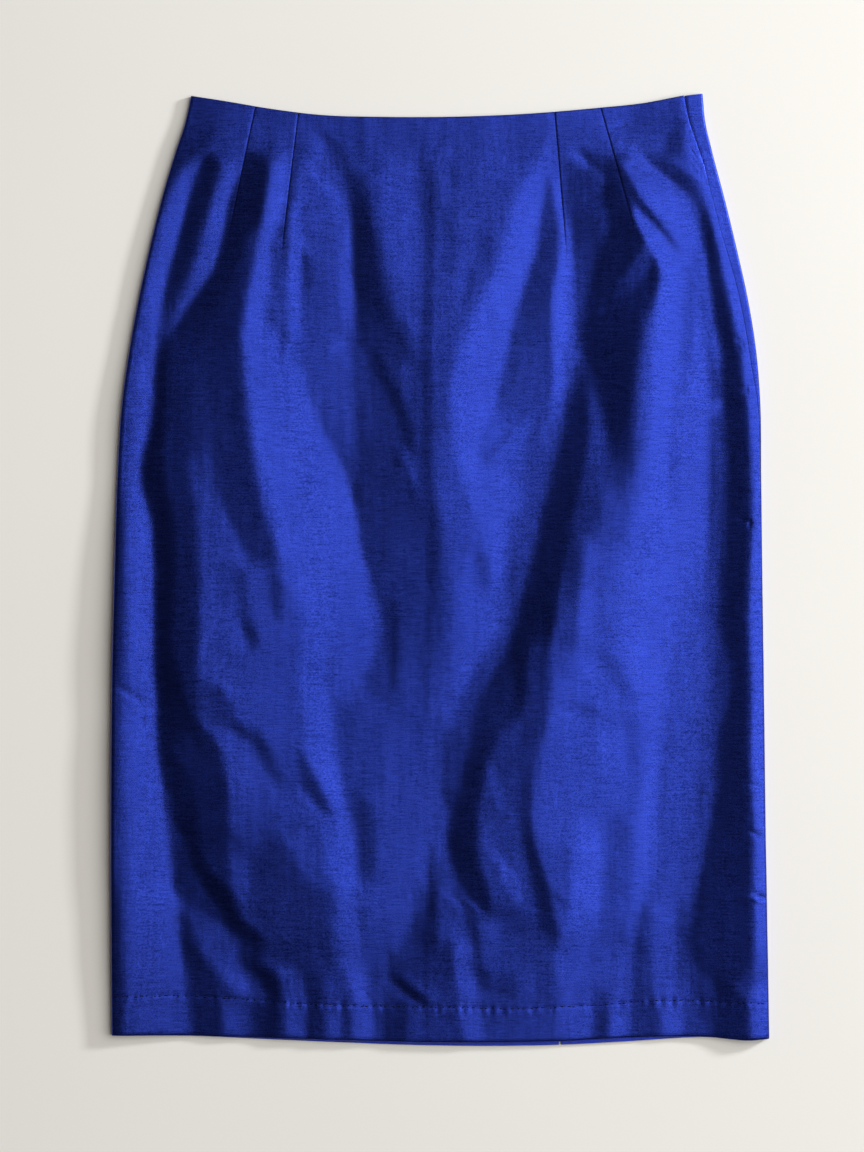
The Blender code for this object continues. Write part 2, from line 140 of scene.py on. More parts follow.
# Rows of a panel's turned edges: the waist's follow its last row, and the hem's come before its first
Turn = namedtuple("Turn", "y z")
WAIST_TURN = (Turn(0.30, -0.12), Turn(0.42, -0.42), Turn(0.30, -0.78), Turn(-0.4, -0.95), Turn(-7.0, -1.0))
HEM_TURN = (
    Turn(-0.75, -2.30), Turn(-1.15, -1.75), Turn(-1.25, -1.15), Turn(-1.05, -0.60), Turn(-0.55, -0.18),
)

# Waves where the hem's stitches draw the cloth in
Wave = namedtuple("Wave", "size length sway sway_length")
PUCKERS = (Wave(1.0, 6.9, 2.1, 17.0), Wave(0.7, 10.3, 1.3, 29.0))
PUCKER_HEIGHT, PUCKER_DROP, PUCKER_REACH = 0.13, 1.0, 3.6
PUCKER_SWELL, PUCKER_SWELL_LENGTH = 0.28, 21.0
STITCH_GROOVE, STITCH_GROOVE_REACH = 0.12, 1.2
HEM_STEP, HEM_STEP_REACH = 0.05, 2.0

STITCHES, STITCHES_FROM, STITCH_SPACING, STITCH_LENGTH = 104, -240.0, 4.66, 1.9
STITCH_RISE, STITCH_ARCH, STITCH_POINTS = 0.14, 0.9, 5
THREAD_RADIUS, THREAD_SIDES = 0.36, 6
# How much and how fast a stitch's x, y, slant and length change from one to the next
STITCH_VARIES = ((0.9, 2.3), (0.35, 1.7), (0.25, 3.1), (0.6, 4.9))

# Short dents where a stitch pulls the cloth, or a small crease crosses a fold
Dent = namedtuple("Dent", "x0 y0 x1 y1 depth width")
DENTS = (
    Dent(223.0, 36.5, 230.0, 34.0, 0.5, 1.1), Dent(229.0, 34.2, 239.0, 32.2, 0.33, 0.9),
    Dent(229.0, 37.6, 235.0, 35.8, -0.25, 1.0), Dent(219.5, 170.0, 224.5, 167.4, 0.61, 1.1),
    Dent(220.5, 163.5, 223.0, 165.5, 0.33, 1.0), Dent(221.5, 135.5, 227.5, 133.0, 0.55, 1.1),
    Dent(222.0, 138.5, 226.0, 136.6, -0.22, 0.9), Dent(230.0, -160.0, 237.0, -161.2, 0.28, 0.9),
    Dent(236.0, -161.2, 243.0, -160.2, 0.22, 0.8), Dent(231.0, -194.5, 235.0, -197.0, 0.39, 1.0),
    Dent(234.5, -197.0, 240.0, -198.4, 0.28, 0.9), Dent(232.0, -191.0, 240.0, -192.4, -0.17, 1.2),
    Dent(231.0, -241.5, 237.0, -242.4, 0.28, 1.0), Dent(236.0, -242.4, 243.0, -243.6, 0.22, 0.9),
    Dent(232.5, -244.5, 241.5, -247.5, -0.33, 1.0), Dent(191.5, 319.2, 200.0, 318.6, 0.21, 0.8),
    Dent(187.0, 304.0, 193.5, 296.5, 0.35, 0.8), Dent(186.5, 297.5, 197.5, 288.0, 0.42, 0.8),
    Dent(186.0, 311.0, 190.5, 304.5, 0.24, 0.7), Dent(121.5, 331.5, 130.0, 327.8, 0.15, 1.2),
    Dent(130.0, 327.6, 136.5, 329.8, 0.12, 1.2), Dent(122.0, 339.0, 134.0, 336.6, 0.1, 1.6),
    Dent(-236.5, -88.0, -223.0, -97.0, 0.5, 1.6), Dent(150.0, -35.0, 200.0, -30.5, 0.12, 0.9),
    Dent(41.5, -40.0, 50.5, -39.6, 0.25, 0.9), Dent(-125.0, 167.5, -15.0, 169.0, 0.1, 1.3),
    Dent(12.0, 168.0, 70.0, 165.5, 0.08, 1.3), Dent(10.0, 97.0, 62.0, 94.5, 0.06, 1.0),
)

# Folds of the back, each along a direction from its middle
BackFold = namedtuple("BackFold", "x0 y0 dx dy width length height")
BACK_FOLDS = (
    BackFold(-120.0, 120.0, 0.12, 0.99, 14.0, 150.0, 0.6),
    BackFold(70.0, -40.0, -0.2, 0.98, 18.0, 170.0, 0.7),
    BackFold(150.0, 160.0, 0.1, 0.99, 12.0, 120.0, 0.5),
    BackFold(-40.0, -210.0, 0.3, 0.95, 16.0, 110.0, 0.5),
)
BACK_FLAT_EDGE, BACK_FLAT_EASE = 12.0, 20.0  # the back is flat this near its sides

# The zip: how far from the seam its tape's halves start and end, and how deep its parts lie under the front
TAPE_HALVES = ((-1.1, -10.4), (1.1, 6.2))
TAPE_ROWS, TAPE_COLUMNS, TAPE_END, TAPE_CLEAR = 110, 9, 1.5, 0.3
TAPE_DEPTH, TAPE_THICK = 1.5, 0.35
TAPE_BEAD, TAPE_BEAD_AT, TAPE_BEAD_WIDTH = 0.25, 0.02, 0.06  # the cord along its inner edge
COIL_POINTS, COIL_SIDES, COIL_END, COIL_PITCH, COIL_RADIUS = 1500, 5, 3.0, 1.25, 0.17
COIL_DEPTH, COIL_RISE, COIL_OFF, COIL_REACH = 1.95, 0.42, 0.45, 0.75

# The slider's plates and its tab: the middle's distance below the slider's top, the sizes of the rounded
# oblong (width, length, corner and the share by which it narrows), and the heights from the middle
Plate = namedtuple("Plate", "below_top sizes low high")
SLIDER_PLATES = (
    Plate(4.5, (4.4, 8.8, 1.1, 0.3), 0.1, 0.55),
    Plate(4.5, (4.4, 8.8, 1.1, 0.3), -0.55, -0.15),
    Plate(1.9, (1.3, 1.9, 0.5), -0.2, 0.15),
    Plate(4.2, (1.2, 4.2, 0.5), -0.85, -0.5),
)
TAB = Plate(None, (2.5, 13.6, 1.0, -0.06), -0.42, 0.0)
TAB_BELOW_TOP, TAB_OVER = 9.0, 0.9
PLATE_BEVEL, PLATE_BEVEL_SHARE, CORNER_STEPS = 0.25, 0.2, 6

# ---------------------------------------------------------------- rows and columns of the meshes

FRONT_ROWS, HEM_ROWS = 322, 14
BACK_LOW_SHARE, BACK_LOW_ROWS, BACK_ROWS = 0.03, 14, 226  # the back's rows are closest at the slit
FINE_ROWS, DETAILS_FROM, DETAILS_TO, DETAIL_DENSITY = 4001, -347.0, 338.0, 1.6
Detail = namedtuple("Detail", "y reach")
ROW_DETAILS = (
    Detail(339.0, 4.0), Detail(325.0, 9.0), Detail(298.0, 6.0), Detail(167.0, 4.0), Detail(135.0, 4.0),
    Detail(35.0, 4.0), Detail(-161.0, 4.0), Detail(-196.0, 5.0), Detail(-244.0, 5.0), Detail(-320.5, 8.0),
)
DART_OFFSETS = (-3.0, -1.6, -0.7, -0.3, 0.0, 0.3, 0.7, 1.6, 3.0)
LEFT_FOLD_COLUMNS, SHOULDER_COLUMNS, SEAM_COLUMNS = 11, 46, 19
SHOULDER_PAST_SEAM, SHOULDER_LEAST = 7.0, 12.0
RIGHT_FOLD_COLUMNS, BACK_COLUMNS = 22, 150
PASSES = 4  # of the search for the height at which a column meets a row
# Insets along the right fold, and how many steps lie before each: three times as many round the fold
FOLD_END, FOLD_TOP = -12.0, 30.0
FOLD_INSETS = (FOLD_END, -QUARTER, QUARTER, FOLD_TOP)
FOLD_STEPS = (0.0, -FOLD_END - QUARTER, -FOLD_END + 5 * QUARTER, FOLD_TOP - FOLD_END + 4 * QUARTER)

# ---------------------------------------------------------------- colours, light and camera

ROYAL, DEEP = (0.0245, 0.0490, 0.390), (0.0065, 0.0145, 0.150)
INNER_PALE, INNER_DARK = (0.03, 0.06, 0.5), (0.015, 0.03, 0.3)
# The stitches' thread is darkened past its own dark blue to near black: painted shade of the dents where the
# stitches pull the cloth.
THREAD_WITH_PAINTED_SHADE, TAPE, ENAMEL = (0.003, 0.006, 0.05), (0.018, 0.032, 0.26), (0.02, 0.035, 0.24)
FLOOR_DARK, FLOOR_PALE = (0.845, 0.832, 0.80), (0.875, 0.866, 0.84)
DARK_GRAIN, PALE_GRAIN = 0.8, 1.15  # a plain surface's darkest and palest grain
MEAN_GRAIN = 2.47  # of the silk's weft and speckle, taken off before its slubs are added
WEFT_ROUGH = 0.10
FLOOR_SIZE, FLOOR_Z = 12.0, -0.0002  # in metres

Light = namedtuple("Light", "name place_at width height power colour")  # in metres and watts
LIGHTS = (
    Light("window", (3.1, 0.7, 4.7), 5.6, 6.0, 314.0, (0.985, 0.985, 0.968)),
    Light("low_window", (2.9, 1.25, 1.1), 0.4, 0.4, 95.0, (0.96, 0.975, 1.0)),
    Light("right_card", (3.0, 0.2, 0.62), 4.0, 1.1, 14.0, (1.0, 0.985, 0.96)),
    Light("left_fill", (-2.6, 0.2, 0.45), 2.0, 0.5, 2.6, (1.0, 0.86, 0.68)),
)
WORLD_COLOUR, WORLD_STRENGTH = (1.0, 0.72, 0.42), 0.065

CAMERA_X, CAMERA_Y, CAMERA_HEIGHT = -5.94, -4.82, 2600.0
FRAME_HEIGHT, SKIRT_LEVEL = 854.8, 5.0  # the picture is this high at the skirt's mean height
SENSOR = 36.0

# ---------------------------------------------------------------- how the front leans

CELL = 1.5
FIELD_X = np.arange(-252.0, 252.1, CELL)
FIELD_Y = np.arange(-360.0, 360.1, CELL)
FIELD_MARGIN = 2.001  # cells that the cubic weights need past a point
LEAN_SCALE, SOFTNESS = 0.88, 1.4
NARROWEST, SOFTEST_SHARE = 1.2, 0.9  # a soft edge takes at most this share of a strip's width
ALONG_SHARE = 0.06  # how much slopes along the skirt are held back
MEAN_REACH = 75.0  # slopes wider than this are drawn to the mean height

# Broad, gentle slopes of the whole cloth
Broad = namedtuple("Broad", "x y reach_x reach_y lean")
BROAD = (
    Broad(-75.0, -120.0, 95.0, 120.0, 2.0),
    Broad(-80.0, 20.0, 80.0, 90.0, 0.8),
    Broad(-205.0, -290.0, 50.0, 70.0, 1.6),
    Broad(60.0, -310.0, 60.0, 40.0, 1.0),
    Broad(-90.0, -320.0, 60.0, 50.0, 0.7),
    Broad(145.0, 200.0, 70.0, 110.0, -1.3),
    Broad(60.0, 270.0, 70.0, 70.0, -1.0),
    Broad(180.0, -310.0, 45.0, 60.0, -1.6),
    Broad(-215.0, 20.0, 14.0, 60.0, -1.2),
)

# Strips of the front that lean to one side, each painted over those before it. A strip has the widths of its
# soft left edge, soft right edge and soft ends, and rows of y, left, right and lean. Leans are in degrees,
# and the cloth faces right where one is positive.
STRIPS = {
    # broad slopes
    "top left": (12, 12, 20, ((356,-192,-110,-1.2), (310,-192,-120,-1))),
    "top middle": (20, 20, 20, ((356,-110,76,-0.4), (260,-60,60,-0.7), (190,-30,30,-0.8))),
    "left plateau": (10, 10, 24, ((200,-205,-140,-1), (120,-205,-130,0.6), (60,-205,-120,4.2),
        (15,-200,-100,7.6), (-30,-187,-98,9.4), (-60,-183,-96,8.8), (-80,-180,-92,7.8), (-100,-178,-90,7.6),
        (-120,-176,-90,7.8), (-150,-165,-85,8.6), (-170,-160,-80,8.4), (-185,-158,-78,7), (-200,-158,-76,5),
        (-230,-158,-76,1.6))),
    "low grey slope": (8, 8, 14, ((-195,-130,-112,0.5), (-215,-142,-100,-0.6), (-240,-142,-84,-1.1),
        (-260,-136,-80,-1.2), (-280,-124,-78,-1.2), (-300,-112,-76,-1))),
    "middle": (14, 14, 20, ((-60,-84,10,3.2), (-130,-86,16,4.5), (-200,-72,4,4.4), (-260,-60,-24,3.4),
        (-300,-58,-40,1.2))),
    "right plateau": (14, 14, 24, ((200,60,120,-2), (100,60,130,-1), (30,92,130,1), (-20,92,126,2))),
    "low right slope": (8, 10, 20, ((20,100,140,4), (-30,96,148,6), (-60,86,152,7), (-100,82,158,7.5),
        (-140,74,150,7.5), (-180,68,142,6.5), (-205,70,142,5.5), (-230,80,142,4.3), (-250,92,150,4.3),
        (-280,86,150,4.3), (-300,84,150,3.8), (-352,84,160,3.2))),
    "right slope": (8, 10, 20, ((-30,150,199,9), (-60,160,199,7), (-100,165,196,6.5), (-130,166,193,5.5),
        (-150,165,192,4.8), (-180,163,190,3.2), (-200,160,188,2), (-220,160,184,1.8), (-240,156,180,0.6),
        (-255,158,175,1.8), (-280,158,172,1), (-300,158,176,0.4), (-315,160,178,1.2), (-352,163,180,1.2))),
    # left side
    "lower middle right": (8, 6, 16, ((-132,38,68,-1.8), (-160,30,66,0), (-200,28,64,0.2),
        (-240,38,72,-0.8), (-264,38,62,-1.2))),
    "left shelf": (12, 5, 6, ((307,-177,-171,3), (302,-186,-175,5), (297,-191,-179,5.5),
        (290,-195,-183,5.5), (280,-200,-184,6), (260,-206,-189,7), (240,-212,-194.5,7.5),
        (220,-218,-200.5,7.5), (200,-221,-204.5,8), (175,-224,-206,7.5), (165,-225,-208,7),
        (150,-227,-210,7.5), (120,-229,-212,8.5), (100,-230,-215,9), (88,-231,-215,9.5), (75,-231.5,-221,9),
        (60,-232.5,-219,9.5), (50,-233,-216.5,9.5), (40,-233,-213.5,10), (20,-233,-211.5,11),
        (0,-233.5,-210.5,11), (-60,-234,-210.5,11.5), (-80,-234,-210,11), (-92,-235,-208.5,10),
        (-110,-235,-209,10.5), (-120,-235,-209,11.5), (-140,-235,-207.5,11.5), (-160,-235,-205,11.5),
        (-180,-235,-202,11), (-200,-235,-200,10.5), (-220,-235,-198,10.5), (-235,-235,-196,9.5),
        (-250,-234,-192.5,8.8), (-280,-234,-190.5,8.8), (-300,-234,-188.5,8.3), (-320,-234,-187,7.8),
        (-345,-234,-184.5,8.3), (-356,-234,-183,8.3))),
    "left shelf edge": (3, 6, 8, ((110,-238,-232,4), (80,-240,-233,4.5), (40,-241,-233.5,3),
        (0,-242,-234,2.5), (-20,-242,-233,1.5), (-40,-243,-234,2.5), (-80,-243,-235,6), (-150,-244,-236,8),
        (-230,-245,-236,8), (-300,-245,-236,6))),
    "left rim": (2, 3, 8, ((205,-229,-222,3), (180,-232,-225.5,4), (160,-234,-227.5,4.5),
        (140,-236,-229,4.5), (120,-237,-230.5,4.5), (100,-238,-231,4.5), (80,-239.5,-233,4),
        (60,-240,-234,1), (40,-241,-235,-5), (0,-242,-236,-6.5), (-60,-243,-237,-4), (-80,-243,-237,-1),
        (-100,-243.5,-237,-1), (-140,-244,-238,-1), (-170,-244,-238,0), (-200,-244,-238,1),
        (-230,-245,-237.5,0), (-250,-245,-237,-6), (-280,-245,-237,-8), (-320,-245,-236,-8),
        (-356,-245,-236,-8))),
    "first tuck": (4, 6, 5, ((309,-172,-167,-8), (304,-175,-165.5,-10), (298,-178,-164,-13),
        (290,-180.5,-165,-13), (280,-184,-167,-13), (260,-189.5,-172,-13), (240,-195,-177.5,-12),
        (220,-200,-183.5,-11), (200,-205,-190,-8), (180,-208,-196.5,-4), (170,-210,-201,-2))),
    "between tucks": (12, 3, 14, ((312,-158,-146,1), (300,-159,-147,3.5), (280,-167,-150,5),
        (260,-173,-154.5,5.2), (240,-179,-159.5,5), (220,-185.5,-166,5), (200,-194,-178,4),
        (180,-204,-192,2.5))),
    "second tuck": (4, 5, 6, ((310,-143,-132.5,-8), (304,-145.5,-128.5,-12), (298,-146.5,-127,-14),
        (290,-149.5,-126.5,-15), (280,-153.5,-128,-15), (260,-158,-131.5,-15), (240,-162,-138,-14),
        (220,-169,-144.5,-13), (200,-183,-153,-13), (180,-195,-162,-10), (162,-204,-176,-7),
        (150,-208,-186,-6))),
    "beside hollow": (4, 6, 14, ((170,-208,-182,-6), (130,-204,-180,-5.5), (100,-204,-181,-5),
        (60,-204,-181,-5), (0,-200,-178,-5), (-20,-199,-178,-5), (-60,-199,-180,-5.5), (-80,-194,-182,-5),
        (-100,-190,-180,-4.5), (-112,-190,-178,-5), (-120,-190,-172,-5.5), (-130,-194,-164,-5),
        (-140,-192,-160,-4.5), (-160,-190,-157,-4.8), (-180,-180,-156,-4.5), (-200,-178,-157,-4),
        (-220,-170,-157,-4.5), (-240,-158,-150,-4.5))),
    "crest hollow": (6, 8, 14, ((252,-142,-131,-3), (240,-145,-136,-6), (220,-151,-140,-8),
        (200,-160,-145,-9), (180,-171,-147,-8.5), (160,-180,-146,-6), (140,-176,-145,-4.8),
        (120,-172,-142,-4.2), (100,-170,-139.5,-3), (80,-168,-136,-2.4), (60,-166,-130,-2),
        (45,-160,-127,-1), (25,-150,-121,-0.2), (5,-142,-117,1))),
    "plateau stripe": (6, 6, 14, ((160,-180,-171,-5), (140,-180,-174,-3.5), (110,-180,-174,-3),
        (90,-182,-174,-2), (80,-188,-175,0), (65,-185,-172,2), (50,-180,-168,4), (30,-178,-160,5),
        (10,-178,-152,5.5), (-10,-176,-152,6.5), (-30,-174,-154,8), (-50,-172,-153,8), (-65,-172,-152,6))),
    "long left hollow": (4, 5, 10, ((172,-206,-198,-8), (160,-209,-201,-13), (150,-210,-202,-15),
        (120,-212,-203,-15), (100,-215,-204,-15), (80,-220,-205,-15), (60,-219,-203,-15),
        (40,-213.5,-198,-15), (20,-211.5,-197,-15), (0,-210.5,-197,-15), (-20,-210.5,-197,-16),
        (-60,-210.5,-198,-16), (-80,-210,-192,-16), (-100,-208.5,-187,-15), (-110,-209,-182,-13),
        (-120,-209,-178,-10.5), (-130,-208,-196,-10.5), (-145,-206.5,-190,-10), (-160,-204,-184,-9),
        (-175,-202,-180,-10), (-190,-197,-178,-13), (-200,-192,-179,-15), (-210,-188,-176,-15),
        (-220,-184,-172,-16), (-230,-179,-163,-16), (-240,-173,-155,-16), (-250,-166,-152,-15),
        (-260,-161,-147,-15), (-268,-154,-137,-14), (-275,-147,-130,-11), (-283,-147,-131,-8.5),
        (-291,-146,-134,-9.5), (-300,-139,-122,-14), (-308,-132,-118,-15), (-320,-129,-117,-14),
        (-330,-131,-119,-14), (-356,-131,-119,-13))),
    "shelf shade": (4, 4, 8, ((-165,-205,-199,-1), (-190,-202,-195,0), (-200,-200,-189,-1.5),
        (-212,-198,-186,-3.5), (-225,-197,-182,-4.2), (-240,-195,-174,-5), (-250,-184,-166,-4.5),
        (-258,-172,-160,-4.5))),
    # the long fold left of the centre
    "hollow gleam": (4, 4, 8, ((-122,-192,-186,-4), (-140,-183,-177,-3.5), (-160,-173,-166,-4))),
    "low left light": (6, 6, 10, ((-198,-156,-146,0.5), (-212,-156,-143,2.5), (-228,-154,-141,3.5),
        (-240,-152,-141,2.5), (-250,-149,-141,0.5))),
    "fold side": (6, 8, 16, ((300,-108,-80,1), (275,-108,-76,2.5), (250,-104,-76,2), (220,-102,-78,1),
        (190,-102,-70,1), (175,-102,-66,3), (160,-102,-66,4), (140,-100,-64,4), (120,-96,-63,4.5),
        (100,-90,-63,4), (80,-84,-62,3))),
    "patch light": (3, 6, 6, ((-112,-180,-168,5), (-120,-172,-158,5.5), (-128,-164,-142,7.5),
        (-140,-160,-136,8), (-155,-157,-130,8), (-165,-156,-124,7), (-175,-154,-112,6),
        (-185,-152,-108,4))),
    "diagonal shade": (5, 5, 8, ((-118,-144,-132,2), (-130,-138,-128,1.5), (-142,-132,-122,1.5),
        (-154,-126,-116,2), (-164,-118,-110,3))),
    "diagonal light": (5, 5, 10, ((-138,-124,-112,5), (-150,-118,-106,5.5), (-165,-122,-102,6),
        (-180,-120,-98,6), (-195,-118,-90,4.5), (-210,-110,-84,4), (-225,-102,-80,3.8), (-238,-98,-80,2))),
    "slope dark e": (5, 4, 8, ((-136,-108,-98,2.5), (-150,-104,-92,0.5), (-160,-102,-90,0),
        (-170,-96,-84,0.5), (-180,-88,-80,1.5))),
    "patch crease": (2.5, 3, 5, ((-110,-166,-158,1), (-116,-158,-148,0), (-121,-150,-140,-0.5),
        (-126,-144,-136,1))),
    "plateau dark a": (4, 5, 10, ((0,-152,-143,2), (-20,-150,-142,3.5), (-38,-147,-140,1.5),
        (-48,-144,-136,-1), (-58,-142,-135,1))),
    "plateau dark b": (4, 5, 10, ((-5,-126,-118,2.5), (-35,-124,-117,2.5))),
    "plateau diagonal": (5, 5, 6, ((-84,-182,-164,1.5), (-94,-178,-158,0.5), (-104,-178,-153,1.2),
        (-114,-172,-150,1.5))),
    "plateau light b": (4, 5, 5, ((-80,-158,-148,7), (-90,-154,-138,7.5), (-100,-148,-134,6.5))),
    "second slope": (3, 3, 14, ((262,-128,-116,1.5), (240,-128,-114,0.5), (200,-131,-114,0.5),
        (182,-133,-114,2), (170,-134,-114,6))),
    "long left fold": (8, 5, 12, ((322,-121,-112,2), (305,-123,-112,5.5), (280,-128,-114,7.5),
        (260,-131,-118,8), (240,-136,-126,8.5), (220,-139,-126,8.3), (200,-143,-127,8.3),
        (182,-145.5,-128,8.8), (172,-147.5,-116,9.2), (160,-146,-104,9.5), (140,-144,-99,9.5),
        (120,-142,-94,10.2), (100,-140,-85,10.8), (90,-138.5,-78,11), (80,-137,-73,11),
        (60,-133.5,-66,11.4), (40,-128.5,-61,12), (20,-123,-59,12.4), (0,-117,-54,13), (-20,-108,-50,13.4),
        (-40,-103,-46,13), (-60,-103,-60,12.4), (-75,-104,-82,12), (-90,-104,-80,12), (-100,-101,-79,11.6),
        (-120,-99,-78,12), (-135,-99,-77,12), (-150,-94,-75,13), (-160,-88,-73,13.2), (-170,-83,-71,12.8),
        (-180,-80,-68,11), (-190,-80,-66,10.2), (-200,-80,-63,9.6), (-220,-84,-61,9.4), (-232,-80,-61,9.2),
        (-238,-78,-61,7.2), (-260,-79,-60,7.2), (-280,-78,-57,7), (-290,-77,-55,6.4), (-300,-73,-54,8.4),
        (-312,-66,-54,9), (-330,-63,-51,8.6), (-356,-63,-50,8.6))),
    "fold tail": (4, 8, 10, ((0,-80,-52,11.5), (-20,-80,-48,11.5), (-40,-82,-44,11), (-60,-84,-46,10.2),
        (-78,-84,-56,9.4), (-90,-84,-62,7.5), (-100,-82,-66,6))),
    "side bright": (3, 4, 4, ((172,-80,-70,6), (158,-80,-68,6))),
    "middle light c": (8, 8, 14, ((-98,-44,-30,3.5), (-120,-42,-20,5), (-150,-42,-12,5.2),
        (-180,-42,-8,5.2), (-210,-46,-8,5), (-235,-50,-14,5), (-262,-54,-22,4.5), (-290,-56,-36,3))),
    "middle light d": (3, 3, 6, ((-98,-57,-46,5), (-116,-56,-46,4.5))),
    "middle dark line": (3, 3, 6, ((-96,-36,-30,3), (-107,-28,-22,4), (-120,-17,-11,4.6), (-135,-12,-6,4.4),
        (-155,-8,-3,3.2))),
    "grey lobe": (3, 4, 5, ((-117,2,18,-1), (-140,2,17,-1), (-160,1,16,-1.5), (-175,3,15,-3.5))),
    "streak shade": (4, 6, 12, ((-165,-66,-56,1), (-185,-62,-50,-0.5), (-210,-60,-48,-1),
        (-228,-60,-48,0.5))),
    "second crest": (2, 4, 12, ((272,-113,-104,7), (240,-113,-103,8), (200,-113,-103,8), (170,-112,-102,8),
        (150,-110,-101,6))),
    "curved crest": (4, 2, 8, ((304,-102,-95,4), (290,-93,-86,5), (280,-84,-75,5), (270,-79,-69,4.5),
        (255,-77,-66,4.5), (220,-77,-65,4.5), (190,-75,-64,4), (175,-73,-64,3))),
    "hook light": (2, 2, 4, ((246,-105,-98,7), (236,-103,-96.5,7))),
    "hook shade": (2, 5, 6, ((234,-102,-97,-4), (215,-101,-94,-3), (200,-101,-96,-1))),
    "hollow dark d": (5, 5, 8, ((184,-34,-26,-9), (165,-33,-22,-10), (150,-30,-20,-9))),
    "wrinkle a": (2, 2, 4, ((252,-30,-27.5,-3), (243,-29,-26,-5), (232,-27,-24,-4))),
    "wrinkle b": (3, 3, 5, ((260,-38,-31,5), (238,-39,-30,5))),
    "wrinkle c": (2, 2, 5, ((256,-24.5,-21,5), (234,-24,-20.5,4))),
    "wrinkle d": (2, 2, 3, ((304,-50,-47,-2.5), (296,-44,-41,-3), (290,-39,-36,-2))),
    "top fold line": (3, 5, 8, ((342,-62,-56,-2.5), (305,-61,-55,-2.5), (292,-60,-54,-1))),
    "top fold light": (3, 6, 10, ((342,-55,-46,1.5), (305,-54,-44,2))),
    "pressed light": (2, 5, 6, ((342,-8.5,0,2.5), (305,-8,-1,2))),
    "middle spot a": (3, 3, 4, ((300,7,12,-4), (286,8,13,-4))),
    "middle spot b": (4, 4, 6, ((246,30,38,-3), (226,29,37,-2.5))),
    "middle spot c": (4, 4, 6, ((226,20,26,-3), (196,17,24,-3))),
    "middle spot d": (8, 8, 10, ((272,0,14,-2.5), (220,2,12,-2.5))),
    "middle light a": (10, 10, 10, ((334,34,62,1.5), (292,32,56,1.2))),
    "middle light b": (6, 6, 10, ((262,18,27,1.2), (205,10,18,1))),
    "dart fork left": (1.5, 1.5, 5, ((247,91.5,93.5,-6), (235,90,92,-7), (215,87.2,89.2,-6), (195,86,88,-4),
        (182,85.5,87.5,-3))),
    "dart fork right": (1.5, 1.5, 4, ((248,92.5,95,-8), (240,94,96.5,-7), (228,97,99.5,-3))),
    "dart ridge": (2, 2, 6, ((294,81,86,5), (275,86,89.5,7), (258,89,92,8), (246,90,92,7))),
    "diagonal ridge": (3, 3, 5, ((313,93,99,4), (305,97,107,5), (298,107,118,4.5), (291,117,127,3),
        (284,126,134,1), (277,132,139,-4), (268,137,142,-9))),
    "diagonal dark": (3, 3, 4, ((311,101,108,-3), (305,108,118,-8), (300,112,122,-10))),
    "top right streak": (2, 2, 3, ((334,180,188,-4), (329,176,184,-5), (325,172,180,-5))),
    "seam wrinkle a": (2, 2, 4, ((318,181,184,-2), (310,184,187,0), (303,189,192,0), (296,194,197,3))),
    "seam wrinkle b": (2, 2, 4, ((303,183,187,-1), (297,188,192,0), (290,195,199,1), (284,200,203,5))),
    "inner left hollow": (3, 14, 12, ((312,-82,-68,0), (300,-77,-64,-4), (290,-71,-56,-6), (280,-67,-54,-9),
        (260,-65,-51,-12), (240,-64.5,-47,-13), (220,-64,-44,-13), (200,-62,-39,-12), (180,-62,-30,-7),
        (160,-62,-21,-4.5), (140,-61,-16,-3.2), (120,-61,-14,-2.2), (100,-61,-14,-2.2), (80,-61,-13,-1.6),
        (60,-61,-13,-1), (40,-60,-13,-0.2), (20,-57,-8,0.6), (0,-52,-4,1.4), (-20,-47,-4,1.8),
        (-40,-41,-4,2.5), (-60,-40,-6,3), (-80,-42,-20,3), (-98,-46,-22,3.5))),
    "hollow dark a": (4, 4, 8, ((165,-56,-46,-7), (155,-52,-42,-8.5), (140,-45,-35,-8.5),
        (120,-35,-26,-8.5), (100,-29,-20,-8), (85,-33,-24,-7), (74,-36,-28,-4))),
    "hollow dark b": (3, 4, 5, ((64,-65,-58,-5), (48,-64,-57,-4))),
    "hollow pale a": (4, 4, 8, ((165,-62,-53,-1), (150,-62,-53,-0.5), (100,-62,-46,-1))),
    "hollow pale b": (3, 3, 6, ((152,-30,-21,-1), (130,-27,-18,-1), (112,-20,-14,-1))),
    "hollow pale c": (3, 3, 4, ((92,-31,-24,0.5), (80,-27,-20,3), (66,-21,-15,3), (58,-18,-13,0.5))),
    "hollow dark c": (4, 4, 10, ((-20,-41,-31,-1.5), (-42,-39,-31,-2.5), (-60,-38,-31,-3), (-80,-38,-31,-2),
        (-90,-42,-30,-0.5))),
    "hollow pale d": (4, 4, 8, ((22,-40,-22,1.5), (0,-38,-20,1.5))),
    "hollow dark e": (4, 5, 6, ((-80,-55,-45,1), (-96,-52,-40,1))),
    "hollow dark f": (1.5, 1.5, 4, ((60,-23,-20,-6), (44,-23,-20,-5))),
    "centre light": (8, 6, 16, ((315,-44,-18,1), (280,-45,-18,2.5), (240,-40,-17,2), (215,-38,-17,1))),
    "pressed line": (3, 3, 10, ((345,-20,-9,-1.5), (320,-20,-9,-2.5), (303,-17,-8,-3), (290,-13,-4.5,-5),
        (270,-12,-4,-5.5), (240,-12,-4,-5.5), (220,-12,-5,-5), (200,-13,-5,-5), (170,-14,-6,-4.5),
        (120,-14,-6,-5), (90,-13,-6,-4.5), (60,-10,-4,-4), (0,-10,-3,-2.5), (-60,-13,-8,0),
        (-110,-12,-9,3.5))),
    # the folds right of the centre
    "beside centre fold": (8, 10, 14, ((100,-6,12,3), (80,-6,20,4), (60,-5,28,5.5), (30,1,34,6),
        (-20,2,26,5), (-60,-2,16,5), (-100,-6,10,5.5), (-120,-8,4,5.5))),
    "below wedge": (6, 6, 8, ((116,40,74,4.5), (100,36,66,8), (80,34,62,7.5), (62,44,66,7), (50,54,68,3))),
    "wedge diagonal": (3, 3, 5, ((110,56,64,3), (100,46,55,3.5), (90,37,46,4), (80,28,37,5),
